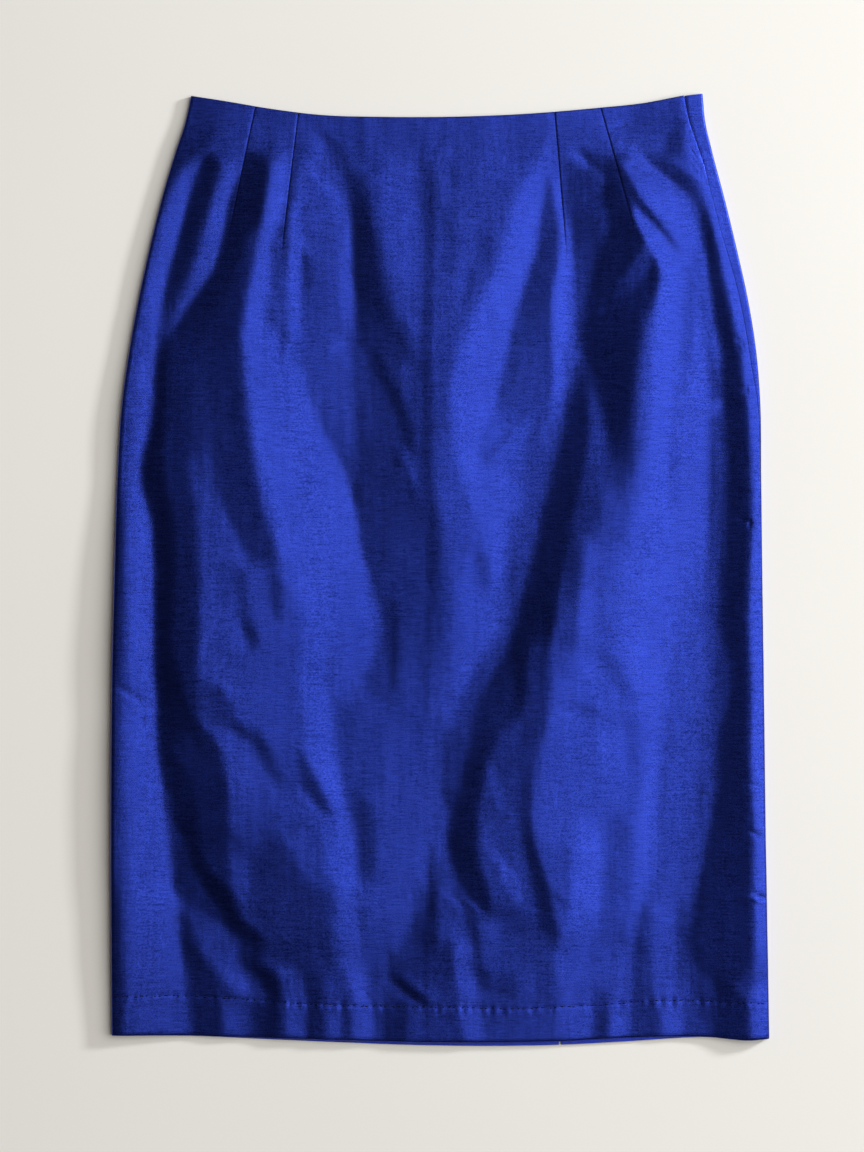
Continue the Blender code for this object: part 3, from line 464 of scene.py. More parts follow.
        (68,20,28,5.5))),
    "slope light a": (4, 5, 8, ((-15,104,114,9), (-52,103,114,9.5))),
    "slope light b": (4, 5, 6, ((-64,104,114,10), (-81,104,116,10))),
    "slope light c": (5, 6, 5, ((-108,82,100,8.5), (-126,80,100,8))),
    "slope shade d": (4, 4, 3, ((-101,102,116,2.5), (-109,103,118,2.5))),
    "slope light e": (4, 5, 6, ((-115,119,134,11), (-135,119,138,10.5), (-155,122,138,8.5))),
    "slope smudge": (5, 5, 8, ((-54,114,122,6), (-66,119,130,4.5), (-80,126,138,4), (-92,132,143,4))),
    "dart side shade": (2, 3, 6, ((318,-107,-102,-2), (300,-110.5,-104.5,-3), (285,-112.5,-107.5,-4),
        (265,-115.5,-111,-6), (248,-118,-113,-6), (238,-117,-112.5,-4), (225,-117,-113,0),
        (180,-117.5,-114,1), (150,-119,-116,5))),
    "centre fold": (9, 7, 12, ((320,77,83,3), (300,69,83,5), (280,57,77,6.5), (260,51,76,7.5),
        (240,47,73,8.5), (220,41,66,8.5), (200,30,60,8.5), (180,21,54,8.5), (160,13,50,9), (140,9,44,9),
        (120,8,41,9), (100,10,36,9.8), (80,13,32,10.2), (65,17,58,9.5), (50,22,62,9.5), (40,25,58,9.5),
        (20,28,54,10), (0,18,50,9.5), (-20,14,48,9), (-30,12,50,9), (-40,13,46,9.3), (-50,12,43,8.8),
        (-60,10,37,8.8), (-70,10,29,9), (-80,10,24,8), (-90,7,19,7), (-100,4,14,5.5), (-112,2,10,4.5))),
    "fold ridge": (3, 4, 8, ((40,40,47,12), (20,39,48,12.5), (0,38,48,11.5), (-20,38,46,8))),
    "fold foot dip": (4, 4, 8, ((14,25,36,4.5), (0,26,37,4.5), (-18,30,38,5.5))),
    "dart wedge": (5, 4, 10, ((292,79,82,-4), (270,77,84,-5.5), (260,75.5,87,-6), (240,72.5,87,-6.5),
        (220,66,85,-7), (200,60,83,-6.5), (180,55,83,-5), (160,51,83,-3), (140,47,83,-2), (125,46,80,-1),
        (112,50,70,1))),
    "wedge shade": (4, 2, 6, ((165,75,83,-3), (130,75,82,-2.5))),
    "dart fold": (3, 5, 10, ((265,92,95,4), (250,91,96,7), (225,88,98,9), (200,84,98,10), (180,84,97,9.5),
        (165,84,95,8.5), (150,84,94,8.5), (140,84,94,8.5), (130,83,91,8), (120,82,89,6), (110,78,86,4.5),
        (100,75,82,2.5), (90,72,78,0))),
    "fold polygon": (2, 4, 3, ((165,91,104,0.5), (150,92,105,1), (143,98,105,0))),
    "between right folds": (6, 8, 14, ((300,92,118,-6), (270,94,121,-8), (240,99,120,-8), (225,100,116,-7),
        (200,100,110,-6), (175,102,112,-7), (165,105,118,-8), (135,104,120,-8), (125,106,121,-5),
        (112,108,121,-4), (95,108,124,-4), (75,106,124,-4), (55,104,121,-5), (40,105,120,-5),
        (22,107,116,-3.5))),
    "long right fold": (7, 6, 12, ((156,102,110,-8), (140,98,110,-12), (120,94,110,-14), (100,89,110,-14),
        (80,84,108,-14), (60,79,105,-14), (40,74,100,-14), (20,71,97,-14), (0,66,93,-14), (-20,60,88,-15),
        (-40,56,86,-15), (-50,53,82,-14), (-60,50,75,-12.5), (-70,44,68,-10.5), (-80,38,66,-9.5),
        (-90,32,65,-8), (-100,27,64,-7), (-110,24,60,-6), (-120,22,46,-7), (-130,21,41,-8),
        (-140,19,37,-10), (-150,17,32,-12), (-160,16,31,-11.5), (-170,12,29,-11), (-180,9,28,-11),
        (-190,8,28,-12), (-200,6,27,-14), (-210,7,27,-14), (-220,10,29,-12), (-230,14,33,-12),
        (-240,18,36,-12), (-250,20,37,-11), (-258,22,35,-7))),
    "fold side grey": (4, 6, 10, ((80,107,112,-6), (60,104,111,-6), (40,99,109,-6.5), (20,96,106,-7),
        (0,92,105,-6.5), (-20,87,103,-3), (-40,86,101,1), (-60,83,100,3), (-80,82,96,3.5))),
    "fold lower side": (3, 4, 8, ((-45,72,80,-13), (-56,66,81,-7), (-70,65,81,-5.5), (-85,65,80,-4),
        (-100,65,79,-2), (-112,62,78,-2), (-125,58,75,-2), (-135,55,72,-2))),
    "fold core": (3, 4, 10, ((-60,54,65,-15), (-75,53,64,-15), (-90,56,64,-13), (-105,50,60,-8))),
    "deep right fold": (8, 11, 6, ((306,116,132,-12), (298,118,137,-14), (290,122,141,-16),
        (278,119,141,-16), (265,123,145,-16), (255,124,149,-16), (245,121,155,-16), (235,117,161,-16),
        (222,113,165,-16), (210,110,164,-15), (200,108,160,-15), (190,106,154,-15), (180,103,151,-16),
        (165,105,148,-16), (150,111,146,-16), (130,118,144,-16), (120,120,143,-15), (100,123,142,-14),
        (88,125,144,-10), (74,124,146,-6), (58,120,140,-2))),
    "deep fold pale a": (6, 5, 6, ((243,153,166,-4), (233,146,163,-5), (224,140,157,-6), (214,134,149,-8),
        (204,130,141,-11))),
    "white wedge": (3, 3, 5, ((268,142,147,6), (260,144.5,151.5,10), (252,148,160,11), (240,154,171,10),
        (230,160,177,9), (218,164,183,9))),
    "right facet": (6, 4, 8, ((326,126,134,3), (312,132,148,6), (300,136,158,7.5), (285,146,173,8),
        (270,156,182,7.5), (255,167,189,7.5), (240,178,194,7), (225,184,197,6.5))),
    "facet line": (3, 2.5, 4, ((312,106,111,-3), (304,112,121,-7), (297,118,128,-12), (290,125,136,-13),
        (283,133,142,-12), (272,143.5,150.5,-11), (262,152.5,158.5,-9.5), (252,161.5,166.8,-7.5),
        (240,171.5,176,-5), (230,178.5,183.5,-4), (224,182,186,-1.5))),
    "right facing slope": (14, 12, 12, ((238,166,190,7), (224,173,196,7), (210,173,198,7.3),
        (195,171,200,7.3), (180,167,201,7.3), (165,163.5,202,7.6), (150,160,203,7.6), (130,157,204,7.6),
        (100,155,204,7.8), (88,152,204,8), (80,149,204,8), (60,147,204,8), (40,141,203,8.5),
        (20,138,202,8.5), (0,134,201,8.5), (-20,130,199,9), (-40,132,172,11), (-60,136,168,13),
        (-80,142,167,13.5), (-100,147,167,13.5), (-120,147,169,11.5), (-140,149,167,12),
        (-160,147,164,11.2), (-180,145,162,12), (-200,145,160,9.8), (-220,144,159,9.2), (-235,142,155,8),
        (-250,141,151,7), (-262,140,148,5), (-275,139,147,4.5))),
    "slope bright": (6, 7, 14, ((228,167,178,9.2), (215,164,176,9.5), (200,162,176,9.8), (180,160,174,10),
        (140,158,172,10.5), (100,157,171,10.8), (60,155,171,11), (20,156,176,11), (-20,148,176,12),
        (-50,142,170,12.5))),
    "slope line low": (2, 3, 10, ((-108,168,173,5), (-125,168,173,4.5), (-145,165,171,4), (-170,163,169,3),
        (-190,162,168,3))),
    "slope line b": (2.5, 3, 8, ((-112,142,147,8), (-130,142,147,6.5), (-165,140,146,6.5))),
    "slope dip c": (5, 5, 12, ((226,181,191,0), (205,181,192,0), (190,179,191,1), (170,178,188,1.4),
        (150,177,186,2), (138,175,184,2.6), (120,172,181,4), (100,171,178,6))),
    "slope line": (4, 4, 16, ((110,170,177,5), (80,169,177,5), (50,170,178,6))),
    "right lower ridge": (4, 6, 12, ((-178,104,116,8), (-190,102,118,10), (-220,98,120,10),
        (-240,98,120,10), (-256,96,118,8), (-275,92,113,7.5), (-290,84,110,7), (-300,86,109,6.5),
        (-315,90,112,6), (-356,86,112,5))),
    "right lower dip": (5, 5, 10, ((-178,128,138,5), (-195,126,140,2.8), (-220,123,139,2.2),
        (-245,120,139,2), (-280,118,138,2))),
    "low right shade": (3, 6, 6, ((-205,72,97,2.5), (-220,77,98,2.5), (-240,84,96,2.5), (-248,86,95,1.5))),
    "curved crease": (1.5, 1.5, 3, ((-236,80,84,-2), (-244,86,90,-2), (-251,91,95,-1))),
    "before right hollow": (8, 5, 10, ((240,188,194,2), (200,192,198,0), (160,196,204,-1), (130,200,212,-4),
        (100,199,212,-4), (60,199,212,-5), (20,199,211,-5.5), (0,199,210,-7), (-30,198,206,-8.5),
        (-50,197,214,-8), (-62,198,217,-8), (-85,198,218,-7.5), (-100,198,217,-6), (-110,198,212,-8),
        (-118,194,208,-6), (-135,192,207,-4.5), (-160,190,206,-3.5), (-200,184,199,-2.5),
        (-230,178,194,-2.5), (-245,176,190,-3), (-262,175,188,-4.5), (-280,173,186,-4.5),
        (-295,176,192,-4.5), (-312,180,188,-1))),
    "slope pucker": (3, 4, 3, ((124,206,214,11), (120,198,209,11), (116,190,202,11), (112,183,194,10.5))),
    "facet spot": (3, 3, 5, ((283,175,182,3.5), (274,176,184,3), (264,178,186,4))),
    "right hollow": (6, 7, 10, ((310,148,158,-2), (304,153,171,-6), (298,158,178,-9), (293,164.5,183,-10),
        (288,171,187.5,-9.5), (283,177,190.5,-8), (278,183,193,-6), (272,188,196.5,-7),
        (266,191.5,198.5,-10), (258,193.5,201.5,-12.5), (250,194.5,203.5,-15), (240,196,205.5,-15),
        (225,198.5,208,-15), (215,199.5,210,-15), (200,201.5,213.5,-15), (185,203.5,216.5,-15),
        (175,206,218.5,-15), (168,208,221,-15), (140,209.5,224,-15), (120,211,227,-15),
        (100,211.5,228.5,-15), (80,213,229,-15), (60,212,229.5,-15), (40,212,230,-15), (20,211,229.5,-15),
        (0,208,229,-15), (-20,206,228.5,-15), (-40,206,228,-15), (-52,209,228.5,-15), (-62,214,228.5,-15),
        (-80,216,229.5,-15), (-98,214,229.5,-15), (-112,209,229.5,-15), (-122,206,229,-15),
        (-140,206,229.5,-15), (-160,205,230.5,-15), (-180,202,231,-14.5), (-200,198,232,-14),
        (-220,195,232,-13.5), (-240,190,231.5,-13), (-260,187,232,-11.5), (-280,183,232,-11.5),
        (-295,190,231.5,-11), (-310,203,224,-15), (-322,203,227,-14), (-356,199,229,-14))),
    "right hollow spot": (3, 3, 5, ((-90,197,204,-9), (-99,197,205,-10))),
    "right rim": (7, 4, 12, ((352,183,197,6), (320,182,200,7), (300,188,206,8.5), (290,192,208,9),
        (280,196,210,9.5), (270,199.5,213,10), (250,204.5,218,11), (235,208.3,221,11), (220,211.3,223,11),
        (200,215.8,228,11), (185,219.3,232,11), (160,224.3,235,11), (140,227,237,11), (120,230,239,11),
        (100,231.5,239.5,10.5), (80,232.5,240,10.5), (60,233,240,10.5), (40,233.5,240,10.5),
        (20,233,240,10.5), (0,232.2,241,11), (-20,231.2,241,11), (-40,230.7,241,11.5), (-60,231.2,241,12),
        (-80,232.7,242,12), (-100,232.7,242,11.5), (-120,232.2,242,11.5), (-140,232.2,242,12),
        (-160,232.7,242,11.5), (-180,233.7,242.5,11), (-200,234.2,243,10), (-220,234.2,243.5,9),
        (-240,234.2,244,9.5), (-260,234.7,244,9.5), (-280,234.7,244,9), (-300,235,244,8.8),
        (-320,234,244,8.6), (-356,234,245,8.6))),
    # top
    "rim shade": (3, 3, 12, ((353,186,204,3.8), (330,190,208,3.9), (300,200,214,3.2), (280,203,218,2.8),
        (260,209,222,3), (240,213,227,3.2), (220,217.5,231,3.4), (200,221,234,3.6), (180,225,238,4),
        (160,228,241,4.8), (140,231,243,5.7), (120,233,244,6.8), (95,235,244,8))),
    "rim nick a": (1.5, 1.5, 1.5, ((165,221,226,-8), (162,222,226,-8))),
    "rim nick b": (1.5, 1.5, 1.5, ((36,226,236,-3), (33.5,227,236,-3))),
    "rim nick c": (2, 2, 1.5, ((-158.5,232,243,2), (-161,234,243,1))),
    "rim nick d": (1.5, 1.5, 1.5, ((-193.5,234,240,2), (-196.5,235,242,-2))),
    "rim nick e": (2, 2, 1.5, ((-237,228,234,-8), (-241,234,243,2))),
    "rim nick f": (2, 2, 1.5, ((-240.5,231,236,15), (-246.5,236,244,15))),
    "left corner": (6, 8, 10, ((356,-192,-160,-5), (330,-196,-164,-6), (312,-200,-174,-7),
        (302,-203,-188,-8), (290,-206,-197,-8), (270,-212,-205,-7), (240,-220,-213.5,-6),
        (200,-228,-221.5,-5), (180,-230,-226,-4))),
    "top bright patch": (4, 4, 6, ((322,-97,-86,5), (303,-95,-85,5))),
    "top diagonal": (3, 3, 5, ((326,-92,-84,-4), (314,-82,-74,-5), (300,-70,-62,-4))),
    "top right grey": (10, 8, 10, ((356,140,182,-4), (338,142,180,-5), (322,150,176,-2))),
    "top right dark": (6, 5, 8, ((332,171,182,-4), (322,168,180,-6), (310,167,179,-6), (303,168,178,-4))),
    "top right ridge": (4, 4, 4, ((336,124,138,5), (326,122,136,5))),
    # folds above the hem
    "hem hollow a": (4, 5, 8, ((-254,-194,-188,-4), (-264,-193,-183,-4.5), (-275,-192,-183,-8),
        (-285,-190,-178,-9), (-295,-188,-172,-6.5), (-305,-186,-167,-4.5), (-318,-185,-163,-4.5),
        (-330,-184,-162,-6), (-356,-182,-162,-6.5))),
    "hem light b": (6, 4, 8, ((-246,-192,-184,-1), (-254,-190,-174,0), (-262,-184,-166,1),
        (-270,-180,-158,2.5), (-280,-179,-151,3.5), (-290,-171,-149,4.5), (-300,-163,-145,6.5),
        (-310,-156,-141,8), (-318,-152,-140,6.5))),
    "hem light c": (4, 5, 6, ((-318,-162,-146,3), (-335,-161,-146,6), (-356,-160,-145,6))),
    "hem grey c": (3, 3, 6, ((-316,-146,-139,2.5), (-335,-146,-139,2), (-356,-146,-139,1.5))),
    "hem dark c": (3, 3, 5, ((-322,-139,-130,-7), (-356,-139,-130,-8))),
    "hem light d": (4, 4, 6, ((-293,-122,-110,3.5), (-302,-120,-104,3), (-312,-118,-100,3),
        (-330,-116,-99,3.5), (-356,-114,-99,3))),
    "hem hollow e": (4, 4, 8, ((-294,-104,-88,-2), (-304,-100,-88,-5), (-314,-98,-87,-8),
        (-335,-98,-86,-8.5), (-356,-98,-87,-8))),
    "hem light f": (4, 4, 8, ((-298,-84,-68,2.5), (-312,-84,-69,2.5), (-330,-84,-73,4.5),
        (-356,-84,-73,5))),
    "hem hollow g": (3, 3, 6, ((-318,-72,-65,-2.5), (-356,-71,-65,-2.5))),
    "hem light h": (3, 4, 6, ((-322,-64,-50,7.5), (-356,-64,-50,7.5))),
    "hem hollow i": (5, 6, 6, ((-285,-40,-25,-3.5), (-298,-38,-24,-5), (-310,-42,-32,-1), (-322,-40,-22,-6),
        (-335,-41,-22,-8), (-356,-42,-25,-7))),
    "hem grey j": (4, 6, 6, ((-322,-20,8,-1), (-340,-24,12,0), (-356,-24,14,0.5))),
    "hem crease": (2, 4, 4, ((-298,-38,-32,-6), (-304,-35,-27,-14), (-311,-29,-19,-16), (-317,-22,-13,-16),
        (-322,-15,-9,-12))),
    "beside low dark": (6, 4, 10, ((-240,-18,-8,-2), (-252,-20,-11,-2), (-262,-20,-11,-4),
        (-275,-24,-13,-3.5), (-290,-28,-12,-5), (-306,-24,-8,-4))),
    "centre low dark": (4, 3, 8, ((-204,-8,-4,-1), (-225,-8,-3,-3.5), (-236,-8,-1,-5), (-242,-9,-2,-10),
        (-260,-12,-2,-9.5), (-275,-15,-2,-9), (-288,-16,0,-6.5), (-300,-14,2,-5), (-312,-12,2,-3))),
    "centre low grey": (3, 5, 6, ((-276,-2,8,-4), (-290,-2,10,-6), (-302,-1,10,-4.5), (-312,0,10,-2))),
    "low streak a": (3, 4, 8, ((-145,34,40,2.5), (-158,37,45,3), (-180,44,52,2.5))),
    "low streak c": (4, 5, 8, ((-178,30,37,-0.5), (-192,32,39,2), (-205,32,42,2.5), (-214,40,48,4),
        (-228,46,58,4.5), (-242,52,62,2.5), (-252,56,64,0.5))),
    "centre low light": (4, 5, 8, ((-244,1,12,-3), (-256,1,14,-1), (-265,3,14,0.5), (-272,12,21,2),
        (-282,12,22,4.5), (-292,11,22,3.5), (-302,12,26,5.5), (-312,13,28,8), (-320,14,27,6),
        (-332,15,31,6.5), (-345,18,34,7.5), (-356,19,35,7.5))),
    "low grey a": (8, 8, 14, ((-255,40,84,-2), (-275,34,82,-2), (-292,32,78,0), (-320,36,84,0.5),
        (-356,36,84,1.5))),
    "low light e": (4, 4, 6, ((-264,35,44,2), (-276,36,45,1.5))),
    "low light f": (4, 4, 6, ((-284,31,41,-0.5), (-298,31,41,-0.5))),
    "low dark f": (8, 6, 8, ((-258,52,76,-4.5), (-276,56,78,-4))),
    "low dark g": (5, 4, 6, ((-300,44,57,-2.5), (-318,42,58,-2.5))),
    "foot dark": (3, 3, 6, ((-240,10,16,-5), (-250,14,22,-7), (-258,18,25,-7), (-268,22,29,-7),
        (-280,25,31,-7), (-290,25,32,-3.5), (-302,28,36,-5), (-312,30,37,-2.5))),
    "foot crease": (1.5, 2, 3, ((-245,20,24,0), (-250,24,28,3), (-256,30,34,3), (-263,38,42,0))),
    "foot light a": (3, 3, 5, ((-222,1,6,-1.5), (-232,5,12,-1), (-240,9,16,-2))),
    "foot light b": (1.2, 2, 2, ((-237,-1,3,3), (-246,9,13,2), (-255,17,21,0))),
    "thin low fold": (4, 3, 10, ((-140,60,68,-2), (-160,60,68,-3), (-178,60,67,-4), (-190,61,68,-6),
        (-200,62,69,-8), (-210,64,72,-10), (-220,66,75,-9.5), (-230,68,78,-9), (-240,70,81,-9),
        (-250,73,83,-10), (-262,74,85,-10), (-270,77,88,-7), (-280,78,85,-4))),
    "low light g": (4, 5, 8, ((-294,66,78,1.5), (-302,60,72,3), (-318,59,70,3.2), (-335,60,72,2),
        (-356,60,72,2))),
    "hem dark k": (4, 4, 6, ((-312,118,127,-1), (-322,117,126,-6), (-335,115,125,-8), (-356,113,124,-8))),
    "hem light k": (4, 5, 8, ((-292,126,141,3.5), (-312,128,141,4.5), (-320,128,142,3), (-335,127,139,7),
        (-356,127,139,7.5))),
    "right foot": (4, 3, 6, ((-300,188,200,-6), (-312,188,204,-6.5), (-322,189,204,-8), (-335,193,204,-8),
        (-356,196,204,-6))),
    "right foot side": (4, 4, 6, ((-318,179,190,-1.5), (-335,179,193,-3.5), (-356,180,194,-3.5))),
    "right foot light": (5, 3, 4, ((-302,222,231,-5), (-311,218,231,-4.5), (-316,222,230,-7))),
    "hem dark l": (4, 5, 10, ((-246,151,158,-1), (-256,148,156,-2.5), (-270,146,156,-2.5),
        (-290,143,156,-4), (-302,143,157,-3), (-312,142,158,-4.5), (-322,142,160,-4.5), (-335,142,163,-6),
        (-356,142,164,-7))),
    "hem light l": (5, 5, 10, ((-250,159,174,4), (-275,158,174,3.5), (-300,158,175,3), (-315,161,178,4),
        (-335,165,179,5), (-356,165,179,5.5))),
}


# ---------------------------------------------------------------- curves and blends


def curve(rows, at):
    """The other columns of a table at places along its first column, on smooth curves through its rows."""
    data = np.array(sorted(rows), float)
    key = data[:, 0]
    at = np.clip(np.asarray(at, float), key[0], key[-1])
    index = np.clip(np.searchsorted(key, at, side="right") - 1, 0, len(key) - 2)
    span = key[index + 1] - key[index]
    t = (at - key[index]) / span
    result = []
    for value in data.T[1:]:
        slope = np.gradient(value, key)
        result.append(
            (2 * t**3 - 3 * t**2 + 1) * value[index]
            + (t**3 - 2 * t**2 + t) * span * slope[index]
            + (3 * t**2 - 2 * t**3) * value[index + 1]
            + (t**3 - t**2) * span * slope[index + 1]
        )
    return result


def ease(share):
    share = np.clip(share, 0.0, 1.0)
    return share * share * (3 - 2 * share)


def mix(start, end, share):
    return start + (end - start) * share


def bell(off):
    return np.exp(-(off**2))


def sides(y):
    return curve(SIDES, y)


def waist_y(x):
    return curve(WAIST, x)[0]


def hem_y(x):
    return curve(FRONT_HEM, x)[0]


def back_hem_y(x):
    return curve(BACK_HEM, x)[0]


def stitch_y(x):
    return curve(STITCH_LINE, x)[0]


def seam_inset(y):
    return curve(SEAM, y)[0]


def line_x(line, y):
    """Where a dart, and the straight grain below its tip, crosses each height."""
    top, bottom = waist_y(line.waist), hem_y(line.hem)
    above = mix(line.tip, line.waist, (y - line.tip_y) / (top - line.tip_y))
    below = mix(line.hem, line.tip, ease((y - bottom) / (line.tip_y - bottom)))
    return np.where(y >= line.tip_y, above, below)


def dart_strength(line, y):
    """How much of its groove a dart has at each height."""
    return np.clip((y - line.tip_y + DART_PAST_TIP) / DART_FADE, 0.0, 1.0)


# ---------------------------------------------------------------- the front's height


def lean_field(strips):
    """Lean of the cloth to the right, in degrees, from the strips and the broad slopes."""
    total = np.zeros((len(FIELD_Y), len(FIELD_X)))
    for soft_left, soft_right, soft_ends, rows in strips.values():
        left, right, lean = (values[:, None] for values in curve(rows, FIELD_Y))
        low, high = min(row[0] for row in rows), max(row[0] for row in rows)
        softest = SOFTEST_SHARE * (right - left).clip(NARROWEST)
        one = np.clip(SOFTNESS * soft_left, 1.0, softest)
        two = np.clip(SOFTNESS * soft_right, 1.0, softest)
        share = ease((FIELD_X - left) / one + 0.5) * ease((right - FIELD_X) / two + 0.5)
        share *= (ease((FIELD_Y - low) / soft_ends + 0.5) * ease((high - FIELD_Y) / soft_ends + 0.5))[:, None]
        total = mix(total, lean, share)
    for slope in BROAD:
        off_x = (FIELD_X - slope.x) / slope.reach_x
        off_y = ((FIELD_Y - slope.y) / slope.reach_y)[:, None]
        total = total + slope.lean * np.exp(-(off_x**2) - off_y**2)
    return total


def cosine(values, axis, inverse=False):
    """Cosine transform along an axis, and its inverse."""
    values = np.moveaxis(values, axis, -1)
    count = values.shape[-1]
    turn = np.exp(-0.5j * np.pi * np.arange(count) / count)
    if inverse:
        packed = values * np.conj(turn)
        packed[..., 0] *= 0.5
        full = np.zeros(values.shape[:-1] + (2 * count,), complex)
        full[..., :count] = packed
        result = np.fft.ifft(full, axis=-1).real[..., :count] * 2
    else:
        mirrored = np.concatenate([values, values[..., ::-1]], axis=-1)
        result = (np.fft.fft(mirrored, axis=-1)[..., :count] * turn).real
    return np.moveaxis(result, -1, axis)


def settle(lean):
    """The height that leans most nearly so, with little slope along the skirt and near its mean height."""
    fall = np.tan(np.radians(lean))
    between = 0.5 * (fall[:, 1:] + fall[:, :-1])
    spread = np.zeros_like(fall)
    spread[:, :-1] -= between
    spread[:, 1:] += between
    spread /= CELL
    rows, columns = fall.shape
    across = (2 - 2 * np.cos(np.pi * np.arange(columns) / columns)) / CELL**2
    down = (2 - 2 * np.cos(np.pi * np.arange(rows) / rows)) / CELL**2
    weight = across[None] + ALONG_SHARE * down[:, None] + 1 / MEAN_REACH**2
    found = cosine(cosine(-spread, 0), 1) / weight
    return cosine(cosine(found, 1, True), 0, True)


def sample(field, x, y):
    """A field between its points, by smooth cubic weights."""
    column = np.clip((x - FIELD_X[0]) / CELL, 1.0, len(FIELD_X) - FIELD_MARGIN)
    row = np.clip((y - FIELD_Y[0]) / CELL, 1.0, len(FIELD_Y) - FIELD_MARGIN)
    i, j = row.astype(int), column.astype(int)

    def weights(t):
        before, after = (3 * t**3 - 6 * t**2 + 4) / 6, (-3 * t**3 + 3 * t**2 + 3 * t + 1) / 6
        return (1 - t) ** 3 / 6, before, after, t**3 / 6

    result = 0.0
    for step_row, weight_row in enumerate(weights(row - i)):
        for step_column, weight_column in enumerate(weights(column - j)):
            at_row = np.clip(i + step_row - 1, 0, len(FIELD_Y) - 1)
            at_column = np.clip(j + step_column - 1, 0, len(FIELD_X) - 1)
            result = result + weight_row * weight_column * field[at_row, at_column]
    return result


FRONT_FIELD = settle(lean_field(STRIPS) * LEAN_SCALE)


def soft_floor(height, least):
    """Keeps a height above the least one, with a smooth turn between."""
    above = np.clip((height - least) / HEIGHT_BLEND, -MOST_BLENDS, MOST_BLENDS)
    return least + HEIGHT_BLEND * np.log1p(np.exp(above))


def distance_to(dent, x, y):
    """Distance of points from the short straight line of a dent."""
    dx, dy = dent.x1 - dent.x0, dent.y1 - dent.y0
    share = np.clip(((x - dent.x0) * dx + (y - dent.y0) * dy) / (dx * dx + dy * dy), 0.0, 1.0)
    return np.hypot(x - dent.x0 - share * dx, y - dent.y0 - share * dy)


def stitched_hem(x, y):
    """Height that the hem's stitches add: puckers, a groove along them and a low step below."""
    above = y - stitch_y(x)
    pucker = 0.0
    for wave in PUCKERS:
        turn = 2 * np.pi * x / wave.length + wave.sway * np.sin(x / wave.sway_length)
        pucker = pucker + wave.size * np.sin(turn)
    swell = 1 - PUCKER_SWELL + PUCKER_SWELL * np.sin(x / PUCKER_SWELL_LENGTH)
    waves = PUCKER_HEIGHT * pucker * bell((above + PUCKER_DROP) / PUCKER_REACH) * swell
    groove = STITCH_GROOVE * bell(above / STITCH_GROOVE_REACH)
    return waves - groove + HEM_STEP * ease(-above / HEM_STEP_REACH)


def front_top(x, y):
    """Height of the front's outer face."""
    height = BASE + sample(FRONT_FIELD, x, y)
    below_waist = (waist_y(x) - y) / WAIST_EASE
    height = mix(WAIST_HEIGHT + WAIST_SHARE * (height - BASE), height, ease(below_waist))
    above_hem = (y - hem_y(x)) / HEM_EASE
    height = mix(HEM_HEIGHT + HEM_SHARE * (height - BASE), height, ease(above_hem))
    height = soft_floor(height, LOWEST)
    height = MOST - soft_floor(MOST - height, 0.0)
    for line in DARTS:
        off = x - line_x(line, y)
        groove = np.where(off < 0, np.exp(off / line.reach), bell(off / DART_EDGE))
        height = height - dart_strength(line, y) * line.depth * groove
    height = height + stitched_hem(x, y)
    for dent in DENTS:
        height = height - dent.depth * bell(distance_to(dent, x, y) / dent.width)
    return height


def back_relief(x, y):
    """Shallow folds of the back, which lies on the ground under the front."""
    total = 0.0
    for fold in BACK_FOLDS:
        along = (x - fold.x0) * fold.dx + (y - fold.y0) * fold.dy
        across = (x - fold.x0) * fold.dy - (y - fold.y0) * fold.dx
        total = total + fold.height * np.exp(-((across / fold.width) ** 2) - (along / fold.length) ** 2)
    for line in BACK_DARTS:
        total = total + dart_strength(line, y) * line.depth * bell((x - line_x(line, y)) / line.reach)
    left, right = sides(y)
    inside = np.minimum(x - left, right - x) - BACK_FLAT_EDGE
    return total * ease(inside / BACK_FLAT_EASE)


# ---------------------------------------------------------------- placing points


def place(which, inset, y, depth):
    """Points near a side fold: positive insets lie over the top, negative ones underneath."""
    left, right = sides(y)
    inward = 1.0 if which == "left" else -1.0
    edge = left if which == "left" else right
    crown = front_top(edge + inward * SIDE_REACH, y)
    turn = np.clip(inset / SIDE_REACH, -math.pi / 2, math.pi / 2)
    reach, half = SIDE_REACH - depth, (crown - UNDERSIDE) / 2 - depth
    x_arc = edge + inward * (SIDE_REACH - reach * np.cos(turn))
    z_arc = (crown + UNDERSIDE) / 2 + half * np.sin(turn)
    x_flat = edge + inward * (SIDE_REACH + np.abs(inset) - QUARTER)
    z_top = front_top(x_flat, y) - depth
    over, under = inset > QUARTER, inset < -QUARTER
    x = np.where(over | under, x_flat, x_arc)
    z = np.where(over, z_top, np.where(under, UNDERSIDE + depth, z_arc))
    if which == "right":
        z = z - seam_drop(y) * np.exp(-np.abs(inset - seam_inset(y)) / SEAM_GROOVE)
    return x, z


def seam_drop(y):
    """Depth of the right seam's groove, which is deep at the waist and fades out low down."""
    deep = ease((y - SEAM_DEEP_Y) / SEAM_DEEP_EASE)
    return mix(SEAM_SHALLOW, SEAM_DEEP, deep) * ease((y - SEAM_FADE_Y) / SEAM_FADE_EASE)


def shoulder_inset(y):
    """Where the top's columns end and those that follow the right seam begin."""
    return np.maximum(seam_inset(y) + SHOULDER_PAST_SEAM, SHOULDER_LEAST)


def side_x(which, inset, y):
    return place(which, inset, y, 0.0)[0]


def join_columns(columns):
    """Rows by columns of points from columns of x, y and z."""
    return np.stack([np.stack(column, axis=-1) for column in columns], axis=1)


